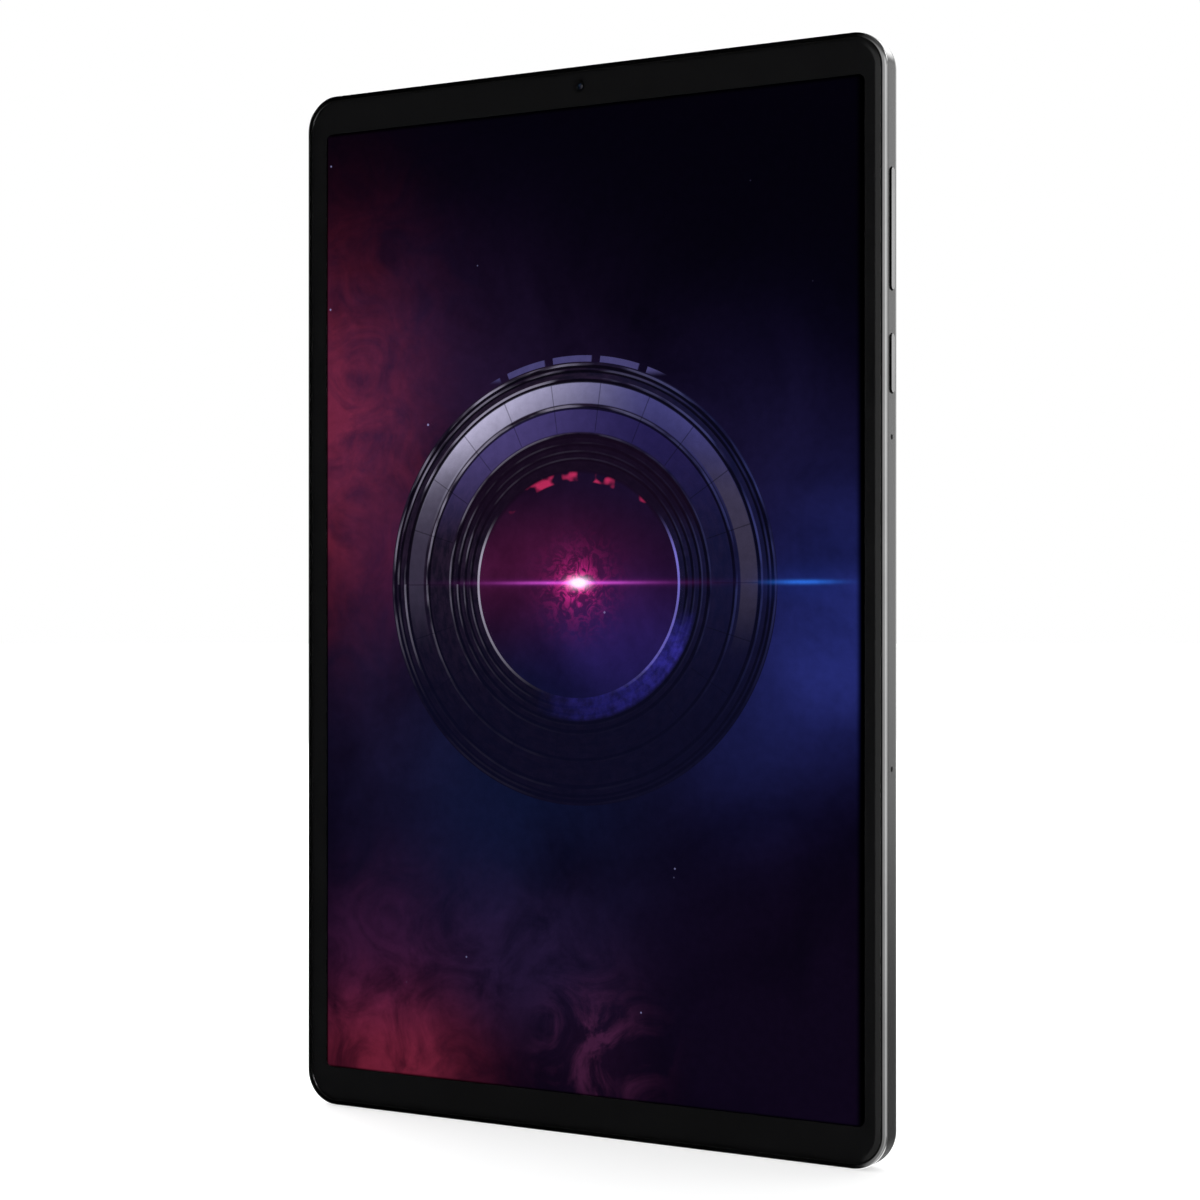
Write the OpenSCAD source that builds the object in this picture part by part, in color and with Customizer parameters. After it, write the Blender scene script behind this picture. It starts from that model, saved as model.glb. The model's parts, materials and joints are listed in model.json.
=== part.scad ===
// Tablet computer of the 8.8-inch class, built up from its separate pieces.
// Every piece is drawn with the tablet lying on its back: X runs across the short side, Y up the
// long side and Z from the rear face (0) to the glass (body_t). stand_up() then stands the piece
// on the bottom edge, with the screen facing -Y and the side keys on +X.

/* [Body] */
// Width across the short side
body_w = 127.5; // [127:0.5:132]
// Height of the long side
body_h = 205; // [204.5:0.5:210]
// Thickness from the rear face to the glass
body_t = 7.8; // [7.8:0.1:8.4]
// Radius of the four corners, seen from the front
corner_r = 6.8; // [6.8:0.1:9]
// Radius of the curve from the side into the rear face
rear_curve_r = 3.9; // [3.7:0.1:3.9]
// Thickness of the shell's side walls
side_wall = 1.3; // [1.2:0.05:1.35]
// Thickness of the shell's floor
floor_t = 0.8; // [0.7:0.05:0.8]

/* [Screen] */
// Width of the lit picture
picture_w = 118.5; // [117:0.5:118.5]
// Height of the lit picture
picture_h = 189.6; // [188:0.2:190]
// Width of the metal lip around the glass
lip_w = 0.85; // [0.8:0.05:0.9]
// How far the lip lies below the glass
lip_drop = 0.18; // [0.1:0.02:0.24]
// Thickness of the cover glass
glass_t = 0.7; // [0.65:0.05:0.7]

/* [Keys] */
// Height of the volume key's centre above the bottom edge
volume_y = 169.3; // [168:0.1:170]
// Length of the volume key
volume_len = 22; // [20:0.5:22]
// Height of the power key's centre above the bottom edge
power_y = 145.1; // [144:0.1:147]
// Length of the power key
power_len = 10.6; // [9:0.2:11]
// Height of both keys' caps across the side
key_h = 1.6; // [1.4:0.1:1.6]
// How far the keys stand proud of the side
key_proud = 0.3; // [0.2:0.05:0.4]

/* [Card tray] */
// Height of the tray faceplate's middle above the bottom edge
tray_y = 174.1; // [174:0.05:174.2]
// Length of the tray faceplate
faceplate_len = 19.8; // [19.6:0.1:20]
// Radius of the hole for an eject pin
pin_hole_r = 0.55; // [0.5:0.05:0.6]

/* [Rear camera] */
// Sideways place of the camera island
island_x = 50; // [49.5:0.1:50]
// Width of the camera island
island_w = 12; // [12:0.1:12.4]
// Length of the camera island
island_len = 26; // [25:0.5:26]
// How far the island stands proud of the rear face
island_proud = 1; // [0.9:0.1:1.2]

/* [USB-C socket] */
// Width of the opening in its metal shell
usb_w = 8.34; // [8.3:0.02:8.4]
// Height of the opening in its metal shell
usb_h = 2.56; // [2.54:0.02:2.6]
// Depth of the socket
usb_depth = 7.35; // [6.5:0.05:7.4]

/* [Smoothness] */
// Segments of a full circle
segments = 64; // [32:16:96]

/* [Hidden] */
$fn = segments;
half_w = body_w / 2;
// slim clearance between pieces of one assembly, and the overlap that joins shapes of one piece
gap = 0.1;
thin = 0.02;

// screen stack and mid frame, measured down from the glass
lip_z = body_t - lip_drop;
glass_z = body_t - glass_t;
ledge_z = body_t - 0.95;
cell_top = ledge_z + 0.01;
cell_z = body_t - 1.8;
plate_top = body_t - 2.9;
plate_z = plate_top - 0.5;
shell_top = body_t - 0.8;
lip_foot = shell_top + 0.05;
shoulder_z = body_t - 1.2;
shell_step = shoulder_z - 0.15;
shoulder_in = 0.7;
skirt_z = 3.2;
skirt_in = 2.6;
frame_in = side_wall + gap;
glass_in = lip_w + gap;
pocket_in = 3.1;
pocket_end = 3.7;
pocket_top_in = 6.4;
pocket_r = 3;

// battery and boards, measured up from the rear face
board_z = 1.5;
board_top = 2.2;
battery_z = 1.1;
battery_top = plate_z - 0.25;
battery_x = 29.1;
battery_w = 56.8;
flex_t = 0.1;
main_screws = [
    [-56, 155.5], [-38, 155], [40, 155.5], [56, 155.5],
    [-5.5, 190], [40, 190], [-56, 193], [57, 195]
];
sub_screws = [[-23, 7], [23, 7], [-23, 21], [23, 21]];
boss_r = 1.6;
pilot_r = 0.55;
shank_r = 0.5;
head_r = 1.3;
head_t = 0.5;

// side keys, measured in from the side
key_z = body_t - 2.5;
key_clear = 0.12;
flange_x = half_w - 1.9;
flange_t = 0.35;
flange_extra = 0.6;
nub_t = 0.17;
nub_r = 0.5;
nub_y = 7.4;
dome_x = half_w - 2.39;
dome_t = 0.3;
dome_r = 1.1;
key_flex_x = half_w - 2.5;
bracket_x = half_w - 2.72;
bracket_t = 0.2;
key_pocket_x = half_w - 2.75;
mic_ys = [131.9, 72.2];
mic_hole_r = 0.5;

// card tray and its eject train
tray_z = 3.25;
tray_t = 1;
tray_y0 = 165.2;
tray_y1 = 178.4;
tray_out_x = -half_w + 1.25;
tray_in_x = -half_w + 17.05;
faceplate_h = 2;
eject_y = 181.6;
rod_r = 0.6;
lever_x = -half_w + 19.25;
lever_y = 177;
lever_z = 2.6;
lever_t = 0.6;
arm_rod = 4.6;
arm_slide = 5.2;
arm_r = 0.8;
pin_r = 0.5;
reader_x0 = -half_w + 3.15;
reader_x1 = -half_w + 21.15;
reader_y0 = 163.3;
reader_y1 = 183.7;
reader_lid_z = 3.98;

// rear and front cameras
camera_y = 188;
flash_y = 176;
island_y = 183;
island_flange = 1;
window_seat_z = -0.4;
barrel_r = 2.9;
barrel_bore_r = 3.1;
front_camera_y = body_h - 3.8;

// USB-C socket
usb_z = 3.3;
usb_front = 0.9;
usb_end = usb_front + usb_depth;
usb_out_w = usb_w + 0.6;
usb_out_h = usb_h + 0.6;
bottom_mic_x = 14;

// speakers, each a box whose sound opening faces an end of the tablet
speaker_w = 24;
speaker_d = 14;
speaker_z = 1.1;
speaker_h = 3;
speaker_wall = 0.5;
speaker_end = 5.2;
top_speaker_x = -22;
bottom_speaker_x = 40;
grille_slots = 5;
grille_pitch = 4.2;
grille_len = 3;
grille_h = 1.2;
grille_z = 3;

// linear vibration motor
haptic_x = -42;
haptic_y = 12;
haptic_w = 20;
haptic_d = 6.4;
haptic_wall = 0.25;
haptic_mass_w = 17.6;

// ---- shared shapes ----

// stands a piece drawn lying on its back on the tablet's bottom edge
module stand_up() translate([0, body_t / 2, 0]) rotate([90, 0, 0]) children();

// a box given by its lowest and highest corners
module block(low, high) translate(low) cube(high - low);

module rod_x(y, z, r, x0, x1) translate([x0, y, z]) rotate([0, 90, 0]) cylinder(r = r, h = x1 - x0);

module rod_y(x, z, r, y0, y1) translate([x, y0, z]) rotate([-90, 0, 0]) cylinder(r = r, h = y1 - y0);

module rod_z(x, y, r, z0, z1) translate([x, y, z0]) cylinder(r = r, h = z1 - z0);

// a bar with round ends that runs along Y and is as thick in X as x0 to x1
module slot_x(x0, x1, y, z, length, h) {
    run = length - h;
    block([x0, y - run / 2, z - h / 2], [x1, y + run / 2, z + h / 2]);
    for (end = [-1, 1]) rod_x(y + end * run / 2, z, h / 2, x0, x1);
}

// a bar with round ends that runs along X and is as thick in Y as y0 to y1
module slot_y(y0, y1, x, z, length, h) {
    run = length - h;
    block([x - run / 2, y0, z - h / 2], [x + run / 2, y1, z + h / 2]);
    for (end = [-1, 1]) rod_y(x + end * run / 2, z, h / 2, y0, y1);
}

// a flat pill whose long axis runs along Y
module pill_z(x, y, w, length, z0, z1) {
    run = length - w;
    block([x - w / 2, y - run / 2, z0], [x + w / 2, y + run / 2, z1]);
    for (end = [-1, 1]) rod_z(x, y + end * run / 2, w / 2, z0, z1);
}

module rounded_rect(w, h, r) {
    square([w - 2 * r, h], center = true);
    square([w, h - 2 * r], center = true);
    for (sx = [-1, 1], sy = [-1, 1])
        translate([sx * (w / 2 - r), sy * (h / 2 - r)]) circle(r);
}

// a flat plate with rounded corners, centred on x, y
module soft_plate(x, y, w, d, r, z0, z1) translate([x, y, z0]) linear_extrude(z1 - z0) rounded_rect(w, d, r);

// a plate with the tablet's outline, drawn in by inset
module outline_plate(inset, z0, z1)
    soft_plate(0, body_h / 2, body_w - 2 * inset, body_h - 2 * inset, corner_r - inset, z0, z1);

// carries a section around the outline: x is the distance out from the edge, y is the height
module edge_sweep() {
    translate([0, body_h / 2, 0])
        for (side = [0:3]) {
            reach = side % 2 == 0 ? half_w : body_h / 2;
            across = side % 2 == 0 ? body_h / 2 : half_w;
            straight = 2 * (across - corner_r);
            rotate([0, 0, 90 * side]) {
                translate([reach, straight / 2, 0]) rotate([90, 0, 0])
                    linear_extrude(straight) children();
                translate([reach - corner_r, across - corner_r, 0])
                    rotate_extrude(angle = 90) translate([corner_r, 0]) children();
            }
        }
}

function arc_points(cx, cy, r, from, to, steps) =
    [for (i = [0:steps]) let (a = from + (to - from) * i / steps) [cx + r * cos(a), cy + r * sin(a)]];

// ---- rear shell ----

// section of the shell's curved side and the edge of its floor
module side_section() {
    reach_in = rear_curve_r + 1.2;
    polygon(concat(
        [[-reach_in, 0]],
        arc_points(-rear_curve_r, rear_curve_r, rear_curve_r, -90, 0, 8),
        [[0, shell_top], [gap - shoulder_in, shell_top], [gap - shoulder_in, shell_step]],
        [[-side_wall, shell_step]],
        arc_points(-rear_curve_r, rear_curve_r, rear_curve_r - side_wall, 0, -90, 6),
        [[-rear_curve_r - 0.5, floor_t], [-reach_in, floor_t]]
    ));
}

module grille_cuts(x, y0, y1)
    for (i = [0:grille_slots - 1])
        slot_y(y0, y1, x + (i - (grille_slots - 1) / 2) * grille_pitch, grille_z, grille_len, grille_h);

// the plastic strip in the rear face that lets radio signals through
antenna_drop = 6.3;
antenna_len = 108;
antenna_w = 2;
antenna_r = 0.9;
antenna_flange = 0.6;

module antenna_strip(grow, z0, z1)
    soft_plate(0, body_h - antenna_drop, antenna_len + 2 * grow, antenna_w + 2 * grow, antenna_r + grow,
        z0, z1);

module rear_shell() color("dimgray") stand_up() {
    outside = half_w + 1;
    inside = half_w - 3;
    difference() {
        union() {
            edge_sweep() side_section();
            outline_plate(rear_curve_r + 0.8, 0, floor_t);
        }
        slot_x(inside, outside, volume_y, key_z, volume_len + 2 * key_clear, key_h + 2 * gap);
        slot_x(inside, outside, power_y, key_z, power_len + 2 * key_clear, key_h + 2 * gap);
        for (y = mic_ys) rod_x(y, key_z, mic_hole_r, inside, outside);
        block([-outside, tray_y - faceplate_len / 2 - gap, tray_z - faceplate_h / 2 - gap],
            [-inside + 1, tray_y + faceplate_len / 2 + gap, tray_z + faceplate_h / 2 + gap]);
        slot_y(-1, 5, 0, usb_z, usb_out_w + 2 * gap, usb_out_h + 2 * gap);
        rod_y(bottom_mic_x, usb_z, mic_hole_r, -1, 5);
        grille_cuts(bottom_speaker_x, -1, 5);
        grille_cuts(top_speaker_x, body_h - 5, body_h + 1);
        pill_z(island_x, island_y, island_w + 2 * gap, island_len + 2 * gap, -1, floor_t + 1);
        antenna_strip(gap / 2, -1, floor_t + 1);
    }
}

module antenna_window() color([0.16, 0.16, 0.17]) stand_up() {
    antenna_strip(0, 0, floor_t + thin);
    antenna_strip(antenna_flange, floor_t + thin, floor_t + 0.3);
}

// ---- mid frame ----

// section of the metal lip that shows around the glass
module lip_section()
    polygon([
        [-shoulder_in, shoulder_z], [-shoulder_in, lip_foot], [-0.02, lip_foot],
        [-0.09, lip_z - 0.32], [-0.3, lip_z - 0.1], [-0.6, lip_z], [-lip_w, lip_z],
        [-lip_w, ledge_z], [-1.6, ledge_z], [-1.6, shoulder_z]
    ]);

// a plate that fills the hollow for the screen, made larger by grow on every side
module screen_layer(grow, z0, z1) {
    w = body_w - 2 * pocket_in + 2 * grow;
    h = body_h - pocket_end - pocket_top_in + 2 * grow;
    soft_plate(0, pocket_end - grow + h / 2, w, h, pocket_r + grow, z0, z1);
}

// a pocket in the side wall that is open toward the rear
module side_pocket(y0, y1) {
    block([key_pocket_x, y0, skirt_z - 1], [half_w, y1, shoulder_z - gap]);
    block([half_w - 4, y0, skirt_z - 1], [half_w, y1, plate_z]);
}

module frame_cuts() {
    side_pocket(power_y - 9.5, volume_y + 15);
    for (y = mic_ys) side_pocket(y - 1.7, y + 1.7);
    // card tray
    block([-half_w, tray_y - faceplate_len / 2 - 0.3, skirt_z - 1],
        [-half_w + 4, tray_y + faceplate_len / 2 + 0.3, plate_z]);
    // USB-C socket
    block([-usb_out_w / 2 - 0.2, -1, skirt_z - 1], [usb_out_w / 2 + 0.2, usb_end + 0.2, plate_top + gap]);
    // sound ports
    block([bottom_speaker_x - 10.5, -1, skirt_z - 1], [bottom_speaker_x + 10.5, 4, plate_z]);
    block([top_speaker_x - 10.5, body_h - 4, skirt_z - 1], [top_speaker_x + 10.5, body_h + 1, plate_z]);
    block([bottom_mic_x - 1.5, -1, skirt_z - 1], [bottom_mic_x + 1.5, 4, plate_z]);
    // front camera
    block([-2.3, front_camera_y - 2.3, skirt_z - 1], [2.3, front_camera_y + 2.3, body_t]);
    // display flex
    block([-20.3, pocket_end, plate_z - 1], [-7.7, pocket_end + 1, plate_top + 1]);
}

module mid_frame() color("darkgray") stand_up() {
    difference() {
        union() {
            outline_plate(frame_in, skirt_z, ledge_z);
            edge_sweep() lip_section();
        }
        screen_layer(0, plate_top, body_t);
        outline_plate(skirt_in, skirt_z - 1, plate_z);
        frame_cuts();
    }
    // bosses that the boards are screwed to
    for (p = concat(main_screws, sub_screws)) difference() {
        rod_z(p[0], p[1], boss_r, board_top + 0.05, plate_z + gap);
        rod_z(p[0], p[1], pilot_r, board_top - 1, plate_z - gap);
    }
}

module frame_adhesive() color([0.1, 0.1, 0.1]) stand_up() difference() {
    outline_plate(shoulder_in + gap, shell_step + thin, shoulder_z - thin);
    outline_plate(side_wall - 0.05, shell_step - 1, shoulder_z + 1);
}

// ---- screen stack ----

// section of the glass with its softly ground front edge
module glass_section()
    polygon([
        [-glass_in - 2, glass_z], [-glass_in, glass_z], [-glass_in, glass_z + 0.34],
        [-glass_in - 0.08, glass_z + 0.5], [-glass_in - 0.3, body_t - 0.08],
        [-glass_in - 0.75, body_t], [-glass_in - 2, body_t]
    ]);

module cover_glass() color([0.03, 0.03, 0.035]) stand_up() {
    edge_sweep() glass_section();
    outline_plate(glass_in + 1.6, glass_z, body_t);
}

// a plate the size of the lit picture, made larger by grow on every side
module picture(grow, z0, z1)
    soft_plate(0, body_h / 2, picture_w + 2 * grow, picture_h + 2 * grow, 1.3 + grow, z0, z1);

module border_print() color([0.01, 0.01, 0.01]) stand_up() difference() {
    outline_plate(glass_in + 0.15, glass_z - 0.07, glass_z - 0.01);
    picture(0, glass_z - 1, body_t);
    rod_z(0, front_camera_y, 1.5, glass_z - 1, body_t);
}

module display_adhesive() color([0.15, 0.15, 0.15]) stand_up() difference() {
    outline_plate(glass_in + 0.25, ledge_z + thin, glass_z - 0.09);
    screen_layer(0.15, ledge_z - 1, body_t);
    block([-2.5, front_camera_y - 2.5, ledge_z - 1], [2.5, front_camera_y + 2.4, body_t]);
}

module optical_adhesive() color("white") stand_up() picture(-0.05, cell_top + thin, glass_z - 0.01);

module lcd_cell() color([0.05, 0.05, 0.1]) stand_up() screen_layer(-0.2, cell_z, cell_top);

module diffuser_films() color("white") stand_up() screen_layer(-0.6, cell_z - 0.17, cell_z - thin);

module light_guide() color("aliceblue") stand_up() difference() {
    screen_layer(-0.6, cell_z - 0.69, cell_z - 0.19);
    block([-half_w, 0, 0], [half_w, pocket_end + 2.6, body_t]);
}

module backlight_leds() color("gold") stand_up() {
    count = 24;
    pitch = 4.6;
    y = pocket_end + 1.2;
    block([-56, y - 0.3, cell_z - 0.75], [56, y + 1.3, cell_z - 0.67]);
    for (i = [0:count - 1]) {
        x = (i - (count - 1) / 2) * pitch;
        block([x - 1.5, y, cell_z - 0.68], [x + 1.5, y + 1.1, cell_z - 0.22]);
    }
}

module lcd_back_tray() color("lightgray") stand_up() difference() {
    screen_layer(-0.35, plate_top + 0.12, cell_z - 0.2);
    screen_layer(-0.5, plate_top + 0.24, cell_z + 1);
}

module graphite_sheet() color([0.2, 0.2, 0.22]) stand_up()
    block([-54, 14, plate_top + 0.01], [54, 190, plate_top + gap]);

module display_flex() color("darkorange") stand_up() {
    x0 = -20;
    x1 = -8;
    low = plate_z - 0.25;
    edge = pocket_end + 0.04;
    block([x0, edge, low], [x1, edge + 0.12, cell_z + 0.4]);
    block([x0, edge, low], [x1, 17, low + 0.12]);
    block([x0 + 2, 13, board_top + 0.05], [x1 - 2, 16.5, low + thin]);
}

// ---- battery and boards ----

module battery_cell(x) {
    half = battery_w / 2;
    difference() {
        soft_plate(x, 94, battery_w, 104, 1.5, battery_z, battery_top);
        // the sealed lip at the terminal end is thinner than the cell
        block([x - half - 1, 142.5, battery_top - 0.9], [x + half + 1, 147, battery_top + 1]);
    }
    for (tab = [-8, 8]) block([x + tab - 2, 145.9, 2], [x + tab + 2, 147.6, 2.15]);
}

module battery_left() color("silver") stand_up() battery_cell(-battery_x);

module battery_right() color("silver") stand_up() battery_cell(battery_x);

module battery_board() color("darkgreen") stand_up() {
    block([-44, 147.7, 1.9], [44, 150.6, 2.5]);
    for (x = [-34, -14, 14, 34]) block([x - 3, 148, 2.5], [x + 3, 150.3, 3.4]);
}

module battery_adhesive() color("ivory") stand_up()
    for (side = [-1, 1], strip = [-18, 0, 18]) {
        x = side * battery_x + strip;
        block([x - 5, 46, battery_top + thin], [x + 5, 138, plate_z - thin]);
    }

module board_holes(points) for (p = points) rod_z(p[0], p[1], 0.8, board_z - 1, board_top + 1);

module mainboard() color("darkgreen") stand_up() {
    camera_half = 4.7;
    speaker_half = speaker_w / 2 + 0.3;
    difference() {
        block([-59, 152, board_z], [59, 197.5, board_top]);
        block([island_x - camera_half, camera_y - camera_half, 0],
            [island_x + camera_half, camera_y + camera_half, plate_z]);
        block([top_speaker_x - speaker_half, body_h - speaker_end - speaker_d - 0.3, 0],
            [top_speaker_x + speaker_half, body_h, plate_z]);
        board_holes(main_screws);
    }
}

// a part soldered to a board's front face, centred on x, y
module chip(x, y, w, d, h)
    block([x - w / 2, y - d / 2, board_top + 0.01], [x + w / 2, y + d / 2, board_top + 0.01 + h]);

module board_chips() color([0.12, 0.12, 0.13]) stand_up() {
    chip(8, 169, 14, 14, 1.2);
    chip(24, 163, 11, 9, 0.9);
    chip(25, 176, 9, 9, 0.9);
    chip(-25, 163, 9, 9, 1);
    chip(-24, 175, 7, 7, 0.9);
    for (x = [-4:2.2:14]) chip(x, 158.6, 1, 0.6, 0.5);
    for (x = [14:3:35]) chip(x, 192, 1.6, 1, 0.6);
    for (y = [160:4:180]) chip(46, y, 2, 1.2, 0.8);
    chip(0, 154.3, 12, 2.2, 0.9);
    // the microphone behind the bottom edge, on the sub board
    chip(bottom_mic_x, 6.2, 3, 2.4, 1);
    chip(-15, 8, 5, 3, 0.9);
}

// a folded steel lid that opens toward the board
module shield_can(x0, x1) color("silver") stand_up() {
    y0 = 157.5;
    y1 = 184;
    wall = 0.15;
    top = plate_z - 0.6;
    difference() {
        block([x0, y0, board_top + thin], [x1, y1, top]);
        block([x0 + wall, y0 + wall, 0], [x1 - wall, y1 - wall, top - wall]);
    }
}

module shield_can_main() shield_can(-6, 36);

module shield_can_radio() shield_can(-34, -9);

module vapor_chamber() color("peru") stand_up() {
    soft_plate(4, 170.5, 76, 26, 2, plate_z - 0.55, plate_z - 0.03);
    soft_plate(4, 170.5, 66, 16, 2, plate_z - 0.58, plate_z - 0.5);
}

module sub_board() color("darkgreen") stand_up() difference() {
    block([-26, 4, board_z], [26, 24, board_top]);
    block([-usb_out_w / 2 - 0.15, 0, 0], [usb_out_w / 2 + 0.15, usb_end + 0.15, plate_z]);
    board_holes(sub_screws);
}

module board_link_flex() color("darkorange") stand_up() {
    low = floor_t + 0.05;
    block([-9, 18, low], [9, 158, low + flex_t]);
    for (y = [18, 155]) block([-7, y, low + flex_t / 2], [7, y + 3, board_z - thin]);
}

module board_screws() color("silver") stand_up()
    for (p = concat(main_screws, sub_screws)) {
        rod_z(p[0], p[1], head_r, board_z - head_t - thin, board_z - thin);
        rod_z(p[0], p[1], shank_r, board_z - gap, plate_z - 0.3);
    }

// ---- USB-C socket ----

module usb_shell() color("silver") stand_up() difference() {
    slot_y(usb_front, usb_end, 0, usb_z, usb_out_w, usb_out_h);
    slot_y(usb_front - 1, usb_end - 0.3, 0, usb_z, usb_w, usb_h);
}

module usb_tongue() color([0.1, 0.1, 0.1]) stand_up() {
    back = usb_end - 0.32;
    block([-3.35, usb_front + 0.7, usb_z - 0.35], [3.35, back, usb_z + 0.35]);
    slot_y(back - 1.4, back, 0, usb_z, usb_w - 0.04, usb_h - 0.04);
}

// ---- side keys ----

module key_cap(y, length) {
    slot_x(flange_x + flange_t - thin, half_w + key_proud, y, key_z, length, key_h);
    slot_x(flange_x, flange_x + flange_t, y, key_z, length + 2 * flange_extra, key_h + flange_extra);
}

module key_nub(y) rod_x(y, key_z, nub_r, flange_x - nub_t, flange_x + thin);

module volume_key() color("lightgray") stand_up() {
    key_cap(volume_y, volume_len);
    for (side = [-1, 1]) key_nub(volume_y + side * nub_y);
}

module power_key() color("gray") stand_up() {
    key_cap(power_y, power_len);
    key_nub(power_y);
}

// a snap dome of sprung steel on the key flex
module dome(y) rod_x(y, key_z, dome_r, dome_x, dome_x + dome_t);

module volume_domes() color("silver") stand_up() for (side = [-1, 1]) dome(volume_y + side * nub_y);

module power_dome() color("silver") stand_up() dome(power_y);

module side_key_flex() color("darkorange") stand_up() {
    tail_x = half_w - 12;
    tail_z = skirt_z + 0.15;
    strip_x = key_flex_x + flex_t;
    block([key_flex_x, power_y - 8, tail_z], [strip_x, volume_y + 13, key_z + 1]);
    block([tail_x, 158, tail_z], [strip_x, 164, tail_z + flex_t]);
    block([tail_x, 158, board_top + thin], [tail_x + 2.5, 164, tail_z + flex_t]);
}

module key_bracket() color("silver") stand_up()
    block([bracket_x, power_y - 8.6, skirt_z + 0.5], [bracket_x + bracket_t, volume_y + 13.6, key_z + 1.1]);

// ---- card tray, reader and eject train ----

module card_tray() color([0.15, 0.15, 0.16]) stand_up() {
    low = tray_z - tray_t / 2;
    high = tray_z + tray_t / 2;
    difference() {
        union() {
            block([tray_out_x, tray_y0, low], [tray_in_x, tray_y1, high]);
            // shoulder behind the faceplate
            block([tray_out_x, tray_y - 9.2, low], [tray_out_x + 0.8, tray_y + 6, high]);
        }
        // pocket for a memory card, open below where the reader's contacts touch the card
        block([tray_out_x + 1.5, tray_y0 + 1, low + 0.25], [tray_in_x - 0.9, tray_y1 - 1, high + 1]);
        block([tray_out_x + 7.5, tray_y0 + 2, low - 1], [tray_in_x - 2, tray_y1 - 2, high + 1]);
    }
}

module tray_faceplate() color("dimgray") stand_up() difference() {
    intersection() {
        block([-half_w - 1, tray_y - faceplate_len / 2, tray_z - faceplate_h / 2],
            [tray_out_x, tray_y + faceplate_len / 2, tray_z + faceplate_h / 2]);
        // the faceplate follows the shell's curved side
        translate([-half_w, tray_y + faceplate_len, 0]) rotate([90, 0, 0])
            linear_extrude(2 * faceplate_len) mirror([1, 0]) side_section();
    }
    rod_x(eject_y, tray_z, pin_hole_r, -half_w - 1, tray_out_x + 1);
}

module reader_base() color([0.08, 0.08, 0.08]) stand_up() {
    low = board_top + 0.01;
    rail_x1 = reader_x1 - 4.8;
    rail_top = reader_lid_z - 0.03;
    block([reader_x0, reader_y0 + 0.2, low], [rail_x1 - 1.6, reader_y1 - 0.2, low + 0.28]);
    block([rail_x1 - 2, tray_y1 + 0.5, low], [reader_x1 - 0.4, reader_y1 - 0.2, low + 0.28]);
    // rails beside the tray and the eject rod
    block([reader_x0, reader_y0 + 0.2, low], [rail_x1, tray_y0 - 0.3, rail_top]);
    block([reader_x0, tray_y1 + 0.3, low], [rail_x1, eject_y - 1, rail_top]);
    block([reader_x0, eject_y + 1, low], [rail_x1, reader_y1 - 0.2, rail_top]);
}

module reader_contacts() color("gold") stand_up()
    for (i = [0:6]) {
        y = tray_y0 + 2.4 + i * 1.3;
        block([reader_x0 + 6.8, y, board_top + 0.3], [reader_x0 + 10.8, y + 0.7, board_top + 0.5]);
    }

module reader_shell() color("silver") stand_up() {
    sheet = 0.2;
    block([reader_x0, reader_y0, reader_lid_z], [reader_x1, reader_y1, reader_lid_z + sheet]);
    block([reader_x0, reader_y0 - sheet, board_top + thin], [reader_x1, reader_y0, reader_lid_z + sheet]);
    block([reader_x0, reader_y1, board_top + thin], [reader_x1, reader_y1 + sheet, reader_lid_z + sheet]);
}

module eject_rod() color("silver") stand_up()
    rod_x(eject_y, tray_z, rod_r, tray_out_x + 0.6, lever_x - arm_r - gap);

module eject_lever() color("silver") stand_up() {
    high = lever_z + lever_t;
    difference() {
        union() {
            block([lever_x - 0.75, lever_y - arm_slide, lever_z], [lever_x + 0.75, lever_y + arm_rod, high]);
            rod_z(lever_x, lever_y, 1.2, lever_z, high);
            rod_z(lever_x, lever_y + arm_rod, arm_r, lever_z, high);
            rod_z(lever_x, lever_y - arm_slide, arm_r, lever_z, high);
        }
        rod_z(lever_x, lever_y, pin_r + 0.05, lever_z - 1, high + 1);
    }
}

module lever_pin() color("silver") stand_up() {
    head_z = lever_z + lever_t + 0.08;
    rod_z(lever_x, lever_y, pin_r, board_top + thin, head_z + gap);
    rod_z(lever_x, lever_y, 0.85, head_z, head_z + 0.3);
}

module eject_slide() color([0.2, 0.2, 0.2]) stand_up()
    block([tray_in_x + gap, 169, tray_z - 0.7], [lever_x - arm_r - gap, 174.6, tray_z + 0.6]);

// ---- cameras ----

module camera_island() color([0.12, 0.12, 0.13]) stand_up() difference() {
    union() {
        pill_z(island_x, island_y, island_w, island_len, -island_proud, floor_t + 0.05);
        pill_z(island_x, island_y, island_w + 2 * island_flange, island_len + 2 * island_flange,
            floor_t + 0.03, floor_t + 0.3);
    }
    rod_z(island_x, camera_y, 3.6, -2, 3);
    rod_z(island_x, camera_y, 4.5, -2, window_seat_z);
    rod_z(island_x, flash_y, 1.6, -2, 3);
    rod_z(island_x, flash_y, 2.1, -2, window_seat_z);
}

module camera_windows() color([0.1, 0.1, 0.12]) stand_up() {
    rod_z(island_x, camera_y, 4.45, 0.05 - island_proud, window_seat_z - 0.01);
    rod_z(island_x, flash_y, 2.05, 0.05 - island_proud, window_seat_z - 0.01);
}

module flash_led() color("khaki") stand_up() {
    rod_z(island_x, flash_y, 1.4, -0.2, 1.2);
    block([island_x - 1.6, flash_y - 1.6, 1.15], [island_x + 1.6, flash_y + 1.6, board_z - thin]);
}

module rear_camera_housing() color([0.1, 0.1, 0.1]) stand_up() {
    side = 8.6;
    floor_z = plate_z - 1.05;
    difference() {
        soft_plate(island_x, camera_y, side, side, 0.6, 1.2, plate_z - 0.05);
        rod_z(island_x, camera_y, barrel_bore_r, 0, floor_z);
    }
    // the image sensor lies on the housing's floor
    block([island_x - 2.2, camera_y - 1.9, floor_z - 0.35], [island_x + 2.2, camera_y + 1.9, floor_z + 0.01]);
}

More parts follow.
